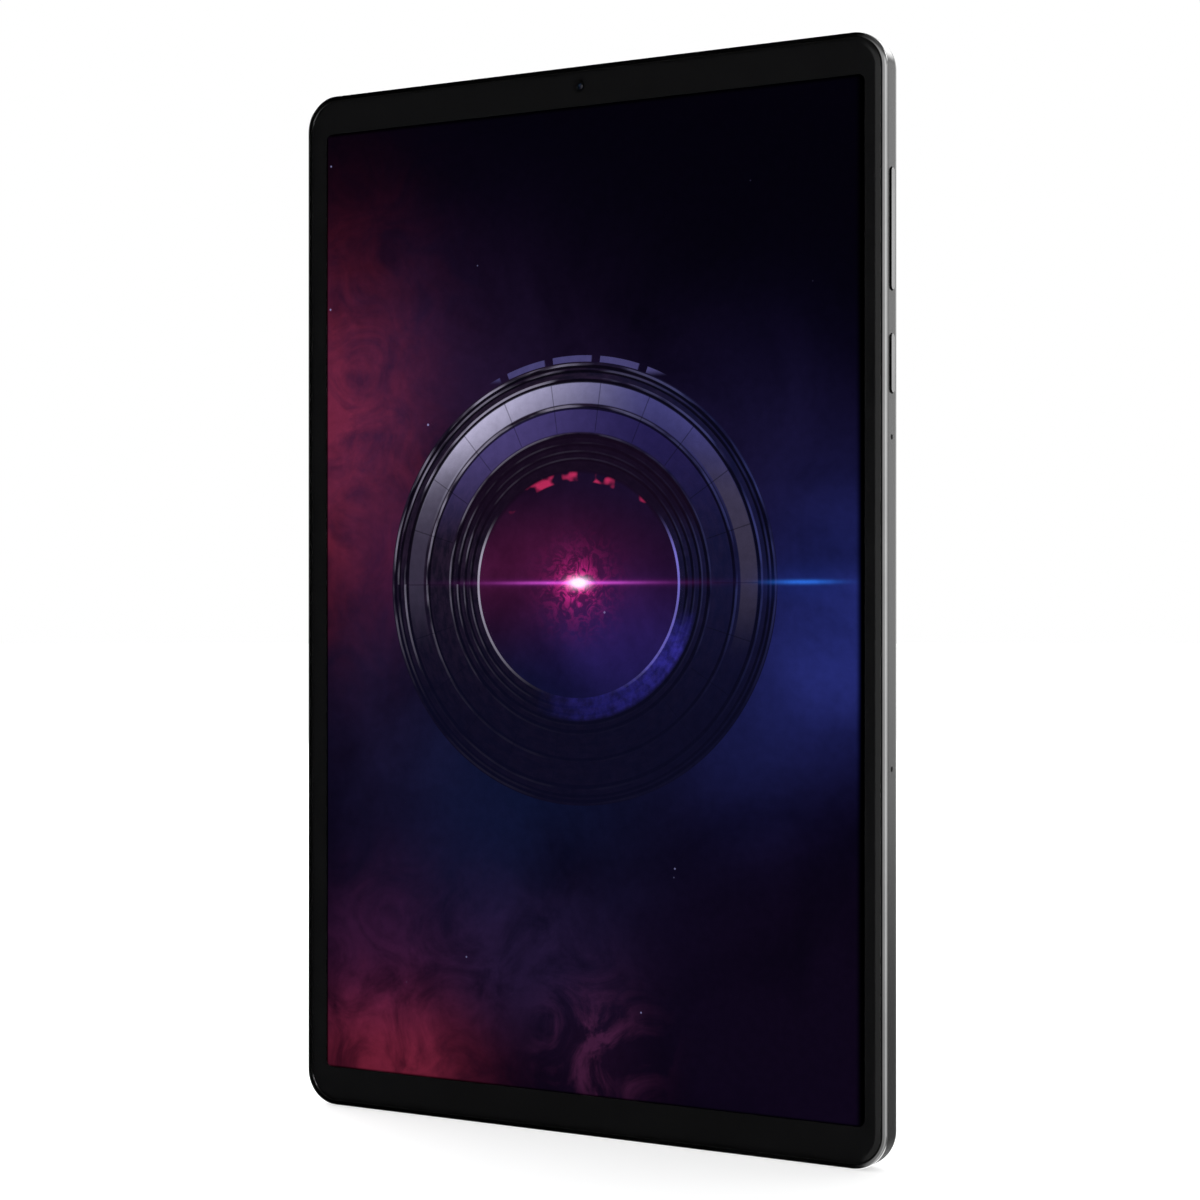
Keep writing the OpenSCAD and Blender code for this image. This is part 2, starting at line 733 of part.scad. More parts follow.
module lens_barrel() color([0.08, 0.08, 0.09]) stand_up() {
    length = 2.2;
    aperture_r = 1.6;
    difference() {
        rod_z(island_x, camera_y, barrel_r, 0, length);
        translate([island_x, camera_y, -thin]) cylinder(r1 = 2.5, r2 = aperture_r, h = 0.9);
        rod_z(island_x, camera_y, aperture_r, 0.5, length + 1);
    }
    // front lens element
    rod_z(island_x, camera_y, aperture_r + 0.05, 0.95, 1.6);
}

module front_camera() color([0.08, 0.08, 0.09]) stand_up() {
    y = front_camera_y;
    difference() {
        union() {
            block([-2.2, y - 2.2, plate_z - 1], [2.2, y + 2.2, plate_top + 0.6]);
            rod_z(0, y, 1.7, plate_top, glass_z - 0.12);
        }
        rod_z(0, y, 1, plate_top + 1, glass_z);
    }
    rod_z(0, y, 1.05, plate_top + 1.1, plate_top + 1.6);
}

// ---- speakers ----

// a speaker is drawn with its sound opening toward -Y and its front wall on Y = 0
module at_bottom() translate([bottom_speaker_x, speaker_end, 0]) children();

module at_top() translate([top_speaker_x, body_h - speaker_end, 0]) rotate([0, 0, 180]) children();

module speaker_box() color([0.09, 0.09, 0.1]) {
    inner_w = speaker_w - 2 * speaker_wall;
    inner_d = speaker_d - 2 * speaker_wall;
    middle = speaker_d / 2;
    difference() {
        soft_plate(0, middle, speaker_w, speaker_d, 1.5, speaker_z, speaker_z + speaker_h);
        soft_plate(0, middle, inner_w, inner_d, 1, speaker_z + 0.4, speaker_z + speaker_h - 0.35);
        block([-9, -1, grille_z - grille_h / 2], [9, 2, grille_z + grille_h / 2]);
    }
    // magnet on the floor of the box
    soft_plate(0, middle, 12, 6.5, 0.5, speaker_z + 0.39, speaker_z + 0.8);
}

module speaker_cone() color([0.25, 0.25, 0.26]) {
    cone_z = speaker_z + 1.65;
    middle = speaker_d / 2;
    soft_plate(0, middle, 17.6, 9.2, 2, cone_z, cone_z + 0.25);
    // voice coil
    difference() {
        soft_plate(0, middle, 13.6, 8, 1.2, speaker_z + 1.2, cone_z + thin);
        soft_plate(0, middle, 13, 7.4, 0.9, speaker_z, cone_z);
    }
}

module speaker_surround() color([0.05, 0.05, 0.05]) difference() {
    soft_plate(0, speaker_d / 2, 22.8, 12.8, 0.9, speaker_z + 1.7, speaker_z + 1.85);
    soft_plate(0, speaker_d / 2, 17.7, 9.3, 2, speaker_z, speaker_z + speaker_h);
}

module speaker_box_top() stand_up() at_top() speaker_box();

module speaker_cone_top() stand_up() at_top() speaker_cone();

module speaker_surround_top() stand_up() at_top() speaker_surround();

module speaker_box_bottom() stand_up() at_bottom() speaker_box();

module speaker_cone_bottom() stand_up() at_bottom() speaker_cone();

module speaker_surround_bottom() stand_up() at_bottom() speaker_surround();

// ---- vibration motor and side microphones ----

module haptic_case() color("silver") stand_up() {
    high = speaker_z + speaker_h;
    difference() {
        soft_plate(haptic_x, haptic_y, haptic_w, haptic_d, 0.6, speaker_z, high);
        soft_plate(haptic_x, haptic_y, haptic_w - 2 * haptic_wall, haptic_d - 2 * haptic_wall, 0.4,
            speaker_z + haptic_wall, high - haptic_wall);
    }
}

module haptic_mass() color("gray") stand_up()
    soft_plate(haptic_x, haptic_y, haptic_mass_w, 5.4, 0.4, speaker_z + 0.4, speaker_z + speaker_h - 0.4);

module haptic_springs() color("gold") stand_up()
    for (side = [-1, 1]) {
        near = haptic_x + side * (haptic_mass_w / 2 + 0.03);
        far = haptic_x + side * (haptic_w / 2 - haptic_wall - 0.03);
        block([min(near, far), haptic_y - 1.5, speaker_z + 0.6],
            [max(near, far), haptic_y + 1.5, speaker_z + speaker_h - 0.6]);
    }

module side_microphones() color("gold") stand_up()
    for (y = mic_ys)
        block([half_w - 2.4, y - 1.4, key_z - 1.2], [half_w - side_wall - 0.05, y + 1.4, key_z + 0.8]);

rear_shell();
mid_frame();
frame_adhesive();
cover_glass();
border_print();
display_adhesive();
optical_adhesive();
lcd_cell();
diffuser_films();
light_guide();
backlight_leds();
lcd_back_tray();
graphite_sheet();
display_flex();
battery_left();
battery_right();
battery_board();
battery_adhesive();
mainboard();
board_chips();
shield_can_main();
shield_can_radio();
vapor_chamber();
sub_board();
board_link_flex();
board_screws();
usb_shell();
usb_tongue();
volume_key();
volume_domes();
power_key();
power_dome();
side_key_flex();
key_bracket();
card_tray();
tray_faceplate();
reader_base();
reader_contacts();
reader_shell();
eject_rod();
eject_lever();
lever_pin();
eject_slide();
camera_island();
camera_windows();
flash_led();
rear_camera_housing();
lens_barrel();
front_camera();
speaker_box_top();
speaker_cone_top();
speaker_surround_top();
speaker_box_bottom();
speaker_cone_bottom();
speaker_surround_bottom();
haptic_case();
haptic_mass();
haptic_springs();
side_microphones();
antenna_window();
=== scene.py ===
import json
import math

import bmesh
import bpy
from mathutils import Matrix, Vector


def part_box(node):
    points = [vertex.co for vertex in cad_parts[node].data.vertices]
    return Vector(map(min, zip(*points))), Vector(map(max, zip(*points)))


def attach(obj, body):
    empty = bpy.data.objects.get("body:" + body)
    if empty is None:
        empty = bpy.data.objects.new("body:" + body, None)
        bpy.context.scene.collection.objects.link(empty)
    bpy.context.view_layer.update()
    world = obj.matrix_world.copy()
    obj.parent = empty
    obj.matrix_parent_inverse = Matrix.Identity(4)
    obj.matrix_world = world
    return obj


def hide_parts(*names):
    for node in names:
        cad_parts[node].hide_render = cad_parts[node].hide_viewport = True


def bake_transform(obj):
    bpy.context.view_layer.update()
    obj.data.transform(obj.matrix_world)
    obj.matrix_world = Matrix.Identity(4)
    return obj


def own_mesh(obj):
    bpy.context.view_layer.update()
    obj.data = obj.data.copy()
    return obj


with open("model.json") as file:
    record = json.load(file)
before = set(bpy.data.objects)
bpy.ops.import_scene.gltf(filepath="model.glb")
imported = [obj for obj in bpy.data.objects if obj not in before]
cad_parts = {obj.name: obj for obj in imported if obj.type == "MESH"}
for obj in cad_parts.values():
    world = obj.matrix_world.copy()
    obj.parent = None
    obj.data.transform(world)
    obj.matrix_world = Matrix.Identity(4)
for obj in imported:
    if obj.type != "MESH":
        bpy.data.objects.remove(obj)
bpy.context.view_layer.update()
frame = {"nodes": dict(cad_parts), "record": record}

# Lengths below are in millimetres in the row frame; a finished piece is scaled to metres.
MM = 0.001
TO_MM = 1000


def mm_box(node):
    low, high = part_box(node)
    return low * TO_MM, high * TO_MM


def mm_span(node):
    """The middle of a node's box and half of its size."""
    low, high = mm_box(node)
    return (low + high) / 2, (high - low) / 2


SHELL_LOW, SHELL_HIGH = mm_box("rear_shell")
GLASS_LOW, GLASS_HIGH = mm_box("cover_glass")
LIP_FRONT_Y = mm_box("mid_frame")[0].y
HALF_W = SHELL_HIGH.x
MID_Z = SHELL_HIGH.z / 2
TOP_Z = SHELL_HIGH.z
REAR_Y = SHELL_HIGH.y
RIM_Y = SHELL_LOW.y

# the outline's corners and the walls
CORNER_R = 6.8
CORNER_STEPS = 20
SIDE_WALL = 1.3
FLOOR_T = 0.8

# what sits in the right side
KEY_Y = -1.4
KEY_FLANGE = 0.6
SIDE_MIC_ZS = (131.9, 72.2)

# what sits in the ends: the sound slots, and a microphone as (x, y)
BOTTOM_SLOTS_X = 40
TOP_SLOTS_X = -22
SLOTS_Y = 0.9
END_MIC = (14, 0.6)

# the rear camera and its lamp, and the hole for the eject pin
ISLAND_X, ISLAND_Z = 50, 183
ISLAND_FLANGE = 1
CAMERA_Z, LAMP_Z = 188, 176
PIN_Z = 181.6

# ---------------------------------------------------------------- geometry


def rounded(centre, half, radius, steps=8):
    """Points of a rounded rectangle in a plane, anticlockwise."""
    points = []
    for quarter, (su, sv) in enumerate(((1, 1), (-1, 1), (-1, -1), (1, -1))):
        cu = centre[0] + su * (half[0] - radius)
        cv = centre[1] + sv * (half[1] - radius)
        for i in range(steps + 1):
            a = math.radians(90 * (quarter + i / steps))
            points.append((cu + radius * math.cos(a), cv + radius * math.sin(a)))
    return points


def circle(centre, radius, steps=48):
    turn = 2 * math.pi / steps
    return [
        (centre[0] + radius * math.cos(i * turn), centre[1] + radius * math.sin(i * turn))
        for i in range(steps)
    ]


def stadium(centre, half, steps=10):
    return rounded(centre, half, min(half) - 0.001, steps)


def disc(centre, radius, steps=24):
    """A circle as a function of how far it is drawn in, for soft_prism."""
    return lambda inset: circle(centre, radius - inset, steps)


def pill(centre, half, steps=10):
    """A stadium as a function of how far it is drawn in."""
    return lambda inset: stadium(centre, (half[0] - inset, half[1] - inset), steps)


def slab(centre, half, radius, share=0.5):
    """A rounded rectangle as a function of how far it is drawn in. Its corners shrink by that share."""
    return lambda inset: rounded(centre, (half[0] - inset, half[1] - inset), radius - inset * share)


def placed(axis, u, v, w):
    """A point from its place in the plane across axis and its place w along axis."""
    return {"x": (w, u, v), "y": (u, w, v), "z": (u, v, w)}[axis]


def added(name, data):
    """A new object in the scene."""
    obj = bpy.data.objects.new(name, data)
    bpy.context.scene.collection.objects.link(obj)
    return obj


def made(name, verts, faces):
    mesh = bpy.data.meshes.new(name)
    mesh.from_pydata([Vector(v) for v in verts], [], faces)
    work = bmesh.new()
    work.from_mesh(mesh)
    bmesh.ops.remove_doubles(work, verts=work.verts, dist=1e-5)
    bmesh.ops.recalc_face_normals(work, faces=work.faces)
    work.to_mesh(mesh)
    work.free()
    return added(name, mesh)


def skin(name, rings, caps=True, closed=False):
    """A surface over rings of points that match one to one. closed joins the last ring to the first."""
    count = len(rings[0])
    verts = [p for ring in rings for p in ring]
    faces = []
    spans = len(rings) if closed else len(rings) - 1
    for r in range(spans):
        here, there = r * count, (r + 1) % len(rings) * count
        for i in range(count):
            j = (i + 1) % count
            faces.append((here + i, here + j, there + j, there + i))
    if caps and not closed:
        faces.append(tuple(range(count))[::-1])
        faces.append(tuple(range(len(verts) - count, len(verts))))
    return made(name, verts, faces)


def prism(name, points, axis, start, end):
    rings = [[placed(axis, u, v, w) for u, v in points] for w in (start, end)]
    return skin(name, rings)


def soft_prism(name, shape, axis, start, end, edge, edge_end=None, steps=4):
    """A prism with rounded rims. shape(inset) gives its outline, drawn in by inset."""
    edge_end = edge if edge_end is None else edge_end
    way = 1 if end > start else -1
    rings = []
    for i in range(steps + 1):
        a = math.radians(90 * i / steps)
        rings.append((edge * (1 - math.sin(a)), start + way * edge * (1 - math.cos(a))))
    for i in range(steps + 1):
        a = math.radians(90 * i / steps)
        rings.append((edge_end * (1 - math.cos(a)), end - way * edge_end * (1 - math.sin(a))))
    return skin(name, [[placed(axis, u, v, w) for u, v in shape(inset)] for inset, w in rings])


def block(name, low, high):
    points = [(low[0], low[1]), (high[0], low[1]), (high[0], high[1]), (low[0], high[1])]
    return prism(name, points, "z", low[2], high[2])


def swept(name, profile, caps):
    """Carries a profile of (inset from the tablet's outline, y) round that outline."""
    rings = []
    for inset, y in profile:
        radius = max(CORNER_R - inset, 0.4)
        half = (HALF_W - inset, MID_Z - inset)
        rings.append([(x, y, z) for x, z in rounded((0, MID_Z), half, radius, CORNER_STEPS)])
    return skin(name, rings, caps=caps, closed=not caps)


def bake(obj):
    """Applies the modifiers of obj to its mesh."""
    graph = bpy.context.evaluated_depsgraph_get()
    mesh = bpy.data.meshes.new_from_object(obj.evaluated_get(graph), depsgraph=graph)
    old = obj.data
    obj.modifiers.clear()
    obj.data = mesh
    bpy.data.meshes.remove(old)
    return obj


def joined(name, parts):
    """One object from several, each keeping its own shape."""
    work = bmesh.new()
    for part in parts:
        work.from_mesh(part.data)
        bpy.data.objects.remove(part)
    mesh = bpy.data.meshes.new(name)
    work.to_mesh(mesh)
    work.free()
    return added(name, mesh)


def combine(obj, tools, operation="DIFFERENCE"):
    tool = joined(obj.name + "_tool", tools)
    step = obj.modifiers.new("combine", "BOOLEAN")
    step.operation = operation
    step.solver = "EXACT"
    step.use_self = True
    step.object = tool
    bake(obj)
    bpy.data.objects.remove(tool)
    return obj


def edged(obj, width):
    """Rounds the sharp edges of obj."""
    bevel = obj.modifiers.new("edges", "BEVEL")
    bevel.width = width
    bevel.segments = 2
    bevel.limit_method = "ANGLE"
    bevel.angle_limit = math.radians(32)
    bevel.miter_outer = "MITER_ARC"
    return bake(obj)


def finished(obj, body, nodes, slot, sharp=50):
    """Scales a piece to metres, smooths its shading and ties it to its CAD body and nodes."""
    obj.data.transform(Matrix.Scale(MM, 4))
    obj.data.shade_smooth()
    obj.data.set_sharp_from_angle(angle=math.radians(sharp))
    normals = obj.modifiers.new("normals", "WEIGHTED_NORMAL")
    normals.keep_sharp = True
    obj.data.materials.clear()
    obj.data.materials.append(FINISHES[slot])
    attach(obj, body)
    if nodes:
        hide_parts(*nodes)
    return obj


# ---------------------------------------------------------------- materials


def rgb(red, green, blue):
    """A colour given as 0 to 255 on screen, as linear light."""
    shares = [v / 255 for v in (red, green, blue)]
    linear = [v / 12.92 if v <= 0.04045 else ((v + 0.055) / 1.055) ** 2.4 for v in shares]
    return (*linear, 1)


def grey(level):
    return rgb(level, level, level)


class Graph:
    """The nodes of one material or of the world."""

    def __init__(self, name, tree=None):
        if tree is None:
            self.material = bpy.data.materials.new(name)
            self.material.use_nodes = True
            tree = self.material.node_tree
        self.tree = tree
        tree.nodes.clear()

    def put(self, socket, value):
        if isinstance(value, bpy.types.NodeSocket):
            self.tree.links.new(value, socket)
        elif value is not None:
            socket.default_value = value

    def node(self, kind, inputs=(), **settings):
        node = self.tree.nodes.new("ShaderNode" + kind)
        for key, value in settings.items():
            setattr(node, key, value)
        for key, value in dict(inputs).items():
            self.put(node.inputs[key], value)
        return node

    def out(self, kind, inputs=(), output=0, **settings):
        """One output of a new node."""
        return self.node(kind, inputs, **settings).outputs[output]

    def math(self, operation, *values, clamp=False):
        inputs = dict(enumerate(values))
        return self.out("Math", inputs, operation=operation, use_clamp=clamp)

    def add(self, *values):
        total = values[0]
        for value in values[1:]:
            total = self.math("ADD", total, value)
        return total

    def fract(self, value):
        return self.math("FRACT", value)

    def less(self, value, taken):
        return self.math("SUBTRACT", value, taken)

    def times(self, *values):
        total = values[0]
        for value in values[1:]:
            total = self.math("MULTIPLY", total, value)
        return total

    def step(self, value, low, high, start=0.0, end=1.0, kind="SMOOTHSTEP"):
        """Runs from start to end as value goes from low to high."""
        inputs = {0: value, 1: low, 2: high, 3: start, 4: end}
        return self.out("MapRange", inputs, interpolation_type=kind)

    def fall(self, value, low, high):
        """Runs from 1 to 0 as value goes from low to high."""
        return self.step(value, low, high, 1.0, 0.0)

    def band(self, value, low, high, soft):
        """1 between low and high, with soft edges outside."""
        rise = self.step(value, low - soft, low)
        fall = self.fall(value, high, high + soft)
        return self.times(rise, fall)

    def place(self, scale=(1, 1, 1)):
        """The point in millimetres in the row frame, stretched by scale."""
        point = self.out("TexCoord", output="Object")
        factors = tuple(TO_MM * s for s in scale)
        inputs = {0: point, 1: factors}
        return self.out("VectorMath", inputs, operation="MULTIPLY")

    def split(self, vector):
        return self.node("SeparateXYZ", {0: vector}).outputs

    def join(self, x, y, z):
        return self.out("CombineXYZ", {0: x, 1: y, 2: z})

    def noise(self, vector, scale, detail=3.0, rough=0.55, distortion=0.0):
        inputs = {"Vector": vector, "Scale": scale, "Detail": detail, "Roughness": rough,
                  "Distortion": distortion}
        return self.out("TexNoise", inputs, "Fac")

    def cells(self, vector, scale, feature="F1", randomness=1.0):
        inputs = {"Vector": vector, "Scale": scale, "Randomness": randomness}
        return self.out("TexVoronoi", inputs, "Distance", feature=feature)

    def mix(self, share, first, second, kind="MIX"):
        settings = {"data_type": "RGBA", "blend_type": kind}
        return self.out("Mix", {0: share, 6: first, 7: second}, 2, **settings)

    def bump(self, height, depth, strength=0.6):
        """depth is in millimetres."""
        inputs = {"Height": height, "Distance": depth * MM, "Strength": strength}
        return self.out("Bump", inputs)

    def surface(self, **sockets):
        names = {key.replace("_", " "): value for key, value in sockets.items()}
        return self.out("BsdfPrincipled", names)

    def paint(self, colour, roughness, normal, **more):
        return self.done(self.surface(Base_Color=colour, Roughness=roughness, Normal=normal, **more))

    def done(self, shader):
        self.node("OutputMaterial", {"Surface": shader})
        return self.material


def metal(name, dark, light, rough, grain=5.0, stretch=(1, 1, 1), depth=0.004, metallic=1.0, blotch=0.09):
    """Metal with a fine grain, which stretch draws out into brush marks, and slow changes of tone."""
    g = Graph(name)
    fine = g.noise(g.place(stretch), grain, 4.0, 0.6)
    slow = g.noise(g.place(), blotch, 2.0, 0.5)
    tone = g.add(g.times(fine, 0.45), g.times(slow, 0.55))
    colour = g.mix(g.step(tone, 0.3, 0.7), dark, light)
    patches = g.add(g.times(fine, 0.5), g.times(slow, 0.5))
    roughness = g.step(patches, 0.3, 0.7, *rough, "LINEAR")
    normal = g.bump(fine, depth)
    return g.paint(colour, roughness, normal, Metallic=metallic)


def moulded(name, dark, light, rough, grain=3.0, depth=0.01, sheen=0.0, cell=0.0, spec=0.5):
    """Moulded plastic or rubber with a fine grain. cell adds the pores of a foam, that many a mm."""
    g = Graph(name)
    point = g.place()
    fine = g.noise(point, grain, 5.0, 0.65)
    slow = g.noise(point, 0.15, 2.0)
    height = fine
    if cell:
        height = g.add(g.times(fine, 0.3), g.times(g.cells(point, cell), 0.7))
    colour = g.mix(g.step(g.add(g.times(height, 0.6), g.times(slow, 0.4)), 0.25, 0.75), dark, light)
    roughness = g.step(height, 0.2, 0.8, *rough, "LINEAR")
    return g.paint(colour, roughness, g.bump(height, depth), Sheen_Weight=sheen, Specular_IOR_Level=spec)


def mirror_share(g):
    """How much a face of thin glass mirrors, the same from both of its sides."""
    slant = g.out("LayerWeight", {"Blend": 0.5}, "Facing")
    return g.add(g.times(g.math("POWER", slant, 5.0), 0.955), 0.045)


def sheet_glass(name, tint, gloss, haze=0.0):
    """Clear glass or resin: it lets what is behind it show and mirrors by its angle."""
    g = Graph(name)
    fine = g.noise(g.place(), 0.4, 2.0)
    smudge = g.step(g.noise(g.place(), 0.035, 4.0, 0.6), 0.45, 0.8, 0.0, haze)
    share = g.times(mirror_share(g), gloss)
    rough = g.add(g.times(fine, 0.02), smudge)
    mirror = g.out("BsdfGlossy", {"Color": (1, 1, 1, 1), "Roughness": rough})
    clear = g.out("BsdfTransparent", {"Color": tint})
    return g.done(g.out("MixShader", {0: share, 1: clear, 2: mirror}))


def board(name, mask, track, pad):
    """Solder mask over copper tracks, with plated pads and white legends."""
    g = Graph(name)
    point = g.place()
    grid = g.place((1, 0.01, 1))
    weave = g.noise(point, 1.2, 2.0)
    lanes = g.cells(grid, 0.55, "DISTANCE_TO_EDGE", 0.35)
    tracks = g.fall(lanes, 0.045, 0.07)
    pads = g.fall(g.cells(grid, 0.9, "F1", 0.0), 0.16, 0.2)
    chosen = g.times(pads, g.step(g.noise(grid, 0.22, 1.0), 0.52, 0.56))
    legend = g.times(g.band(g.cells(grid, 0.21, "F1", 0.8), 0.34, 0.36, 0.01),
                     g.step(g.noise(grid, 0.3, 0.0), 0.5, 0.52))
    base = g.mix(g.step(weave, 0.3, 0.7), mask, tuple(min(1, 1.6 * c) for c in mask[:3]) + (1,))
    colour = g.mix(g.times(tracks, 0.55), base, track)
    colour = g.mix(chosen, colour, pad)
    colour = g.mix(g.times(legend, 0.8), colour, grey(215))
    height = g.add(g.times(tracks, 0.6), chosen)
    return g.paint(colour, g.step(chosen, 0, 1, 0.42, 0.25, "LINEAR"), g.bump(height, 0.02),
                   Metallic=g.times(chosen, 0.9))


def flex(name, film, track):
    """Amber film with parallel copper tracks that show through."""
    g = Graph(name)
    x, _, z = g.split(g.place())
    bend = g.noise(g.place(), 0.12, 1.0)
    lanes = g.fract(g.times(g.add(x, g.times(bend, 2.0)), 1.8))
    tracks = g.band(lanes, 0.3, 0.7, 0.06)
    window = g.step(g.fract(g.times(z, 0.045)), 0.04, 0.07)
    grain = g.noise(g.place(), 4.0, 3.0)
    colour = g.mix(g.times(tracks, window, 0.65), film, track)
    colour = g.mix(g.times(grain, 0.25), colour, grey(25))
    return g.paint(colour, g.step(grain, 0.3, 0.7, 0.3, 0.45), g.bump(tracks, 0.015), Coat_Weight=0.3)


def pouch(name):
    """A battery's foil pouch: wrinkled near its seams, with a printed band."""
    g = Graph(name)
    point = g.place()
    _, _, z = g.split(point)
    crumple = g.noise(point, 0.16, 6.0, 0.62, 0.8)
    weave = g.noise(g.place((1, 1, 0.1)), 3.0, 2.0)
    label = g.band(z, 86, 104, 0.2)
    lines = g.times(g.band(g.fract(g.times(z, 0.5)), 0.42, 0.6, 0.05), g.band(z, 89, 101, 0.2),
                    g.step(g.noise(g.place((0.9, 0.01, 0.5)), 1.2, 1.0), 0.47, 0.5))
    colour = g.mix(g.step(crumple, 0.3, 0.7), grey(58), grey(88))
    colour = g.mix(g.times(label, 0.9), colour, grey(24))
    colour = g.mix(g.times(lines, 0.8), colour, grey(190))
    height = g.add(crumple, g.times(weave, 0.15))
    return g.paint(colour, g.step(weave, 0.3, 0.7, 0.3, 0.46), g.bump(height, 0.12),
                   Metallic=g.step(label, 0, 1, 0.75, 0.1))


def light_plate(name):
    """Clear plastic with a grid of tiny moulded dots that grow along the long side."""
    g = Graph(name)
    point = g.place()
    _, _, z = g.split(point)
    size = g.step(z, 0, 200, 0.16, 0.34, "LINEAR")
    dots = g.math("LESS_THAN", g.cells(g.place((1, 0.01, 1)), 1.1, "F1", 0.0), size)
    haze = g.noise(point, 0.3, 2.0)
    colour = g.mix(g.times(dots, 0.6), rgb(222, 232, 240), grey(250))
    return g.paint(colour, g.step(g.add(haze, dots), 0.2, 1.2, 0.08, 0.5), g.bump(dots, 0.01), IOR=1.49)


def chip(name):
    """Black moulded chip packages with a laser-marked top."""
    g = Graph(name)
    point = g.place()
    grit = g.noise(point, 9.0, 4.0, 0.7)
    marks = g.times(g.step(g.noise(g.place((3.0, 0.01, 0.7)), 1.0, 1.0), 0.56, 0.58),
                    g.band(g.fract(g.times(g.split(point)[2], 0.6)), 0.35, 0.6, 0.03))
    colour = g.mix(g.step(grit, 0.3, 0.7), grey(26), grey(40))
    colour = g.mix(g.times(marks, 0.4), colour, grey(120))
    return g.paint(colour, g.step(grit, 0.3, 0.7, 0.55, 0.75), g.bump(grit, 0.01))


# ---------------------------------------------------------------- the lit picture

RING_X, RING_Z = -0.7, 105.7
RING_OUT, RING_IN = 42.5, 22.0
SEAM_COUNT = 22
PANEL_GAIN = 1.28
# each ridge of the ring: radius, width, brightness and width of the groove inside it
RIDGES = (
    (42.0, 0.3, 0.8, 0.5), (41.0, 0.25, 0.5, 0.4), (39.3, 0.3, 0.8, 0.6), (34.0, 0.35, 0.75, 0.45),
    (28.7, 0.25, 0.45, 0.6), (27.0, 0.2, 0.4, 0.5), (25.4, 0.2, 0.35, 0.4), (24.0, 0.2, 0.4, 0.4),
)
# each light of the star: middle, size, colour and strength
FLARES = (
    ((-0.4, 105.4), (6.0, 6.0), rgb(124, 16, 74), 0.55),
    ((-0.6, 105.4), (3.2, 2.8), rgb(210, 40, 130), 0.6),
    ((-0.2, 105.9), (1.9, 0.9), (1.0, 0.8, 0.95, 1), 1.6),
    ((-1.0, 105.9), (13.0, 0.3), rgb(200, 80, 200), 0.9),
    ((-1.0, 105.9), (21.0, 0.7), rgb(96, 18, 100), 0.4),
    ((47.0, 105.9), (6.0, 0.4), rgb(36, 110, 220), 0.7),
    ((47.0, 105.9), (9.0, 3.0), rgb(12, 30, 90), 0.4),
)


def glow(g, x, z, centre, size, power=1.0):
    """A soft spot of light that fades with distance from centre."""
    u = g.times(g.less(x, centre[0]), 1 / size[0])
    v = g.times(g.less(z, centre[1]), 1 / size[1])
    fall = g.add(g.times(u, u), g.times(v, v))
    return g.times(g.math("EXPONENT", g.times(fall, -1.0)), power)


def layer(g, under, share, colour):
    return g.mix(share, under, colour, "ADD")


def sky(g, x, z, cloud, wisps):
    """A dark sky with a red cloud at the left, a blue one at the right and glows low on the left."""
    colour = rgb(3, 2, 9)
    fog = g.step(cloud, 0.3, 0.7, 0.5, 1.5, "LINEAR")
    veil = g.step(wisps, 0.34, 0.68, 0.4, 1.6, "LINEAR")
    tufts = g.step(wisps, 0.4, 0.62, 0.1, 1.7)
    spots = (
        ((-62, 138), (20, 29), rgb(97, 25, 36), veil),
        ((-44, 106), (18, 49), rgb(19, 9, 26), fog),
        ((-43, 144), (51, 28), rgb(25, 14, 37), fog),
        ((37, 130), (31, 20), rgb(15, 12, 38), fog),
        ((58, 98), (18, 21), rgb(29, 37, 100), fog),
        ((36, 75), (14, 15), rgb(10, 15, 48), fog),
        ((40, 31), (82, 62), rgb(10, 4, 17), fog),
        ((-17, 73), (35, 31), rgb(3, 14, 38), fog),
        ((-44, 11), (17, 12), rgb(95, 24, 37), veil),
        ((-46, 29), (16, 16), rgb(40, 13, 36), veil),
        ((4, 16), (9, 10), rgb(54, 20, 42), tufts),
        ((-12, 32), (20, 14), rgb(24, 14, 36), veil),
        ((-14, 108), (27, 11), rgb(58, 8, 34), fog),
        ((8, 94), (16, 12), rgb(28, 19, 72), fog),
    )
    for centre, size, light, rough in spots:
        colour = layer(g, colour, g.times(glow(g, x, z, centre, size), rough), light)
    return colour


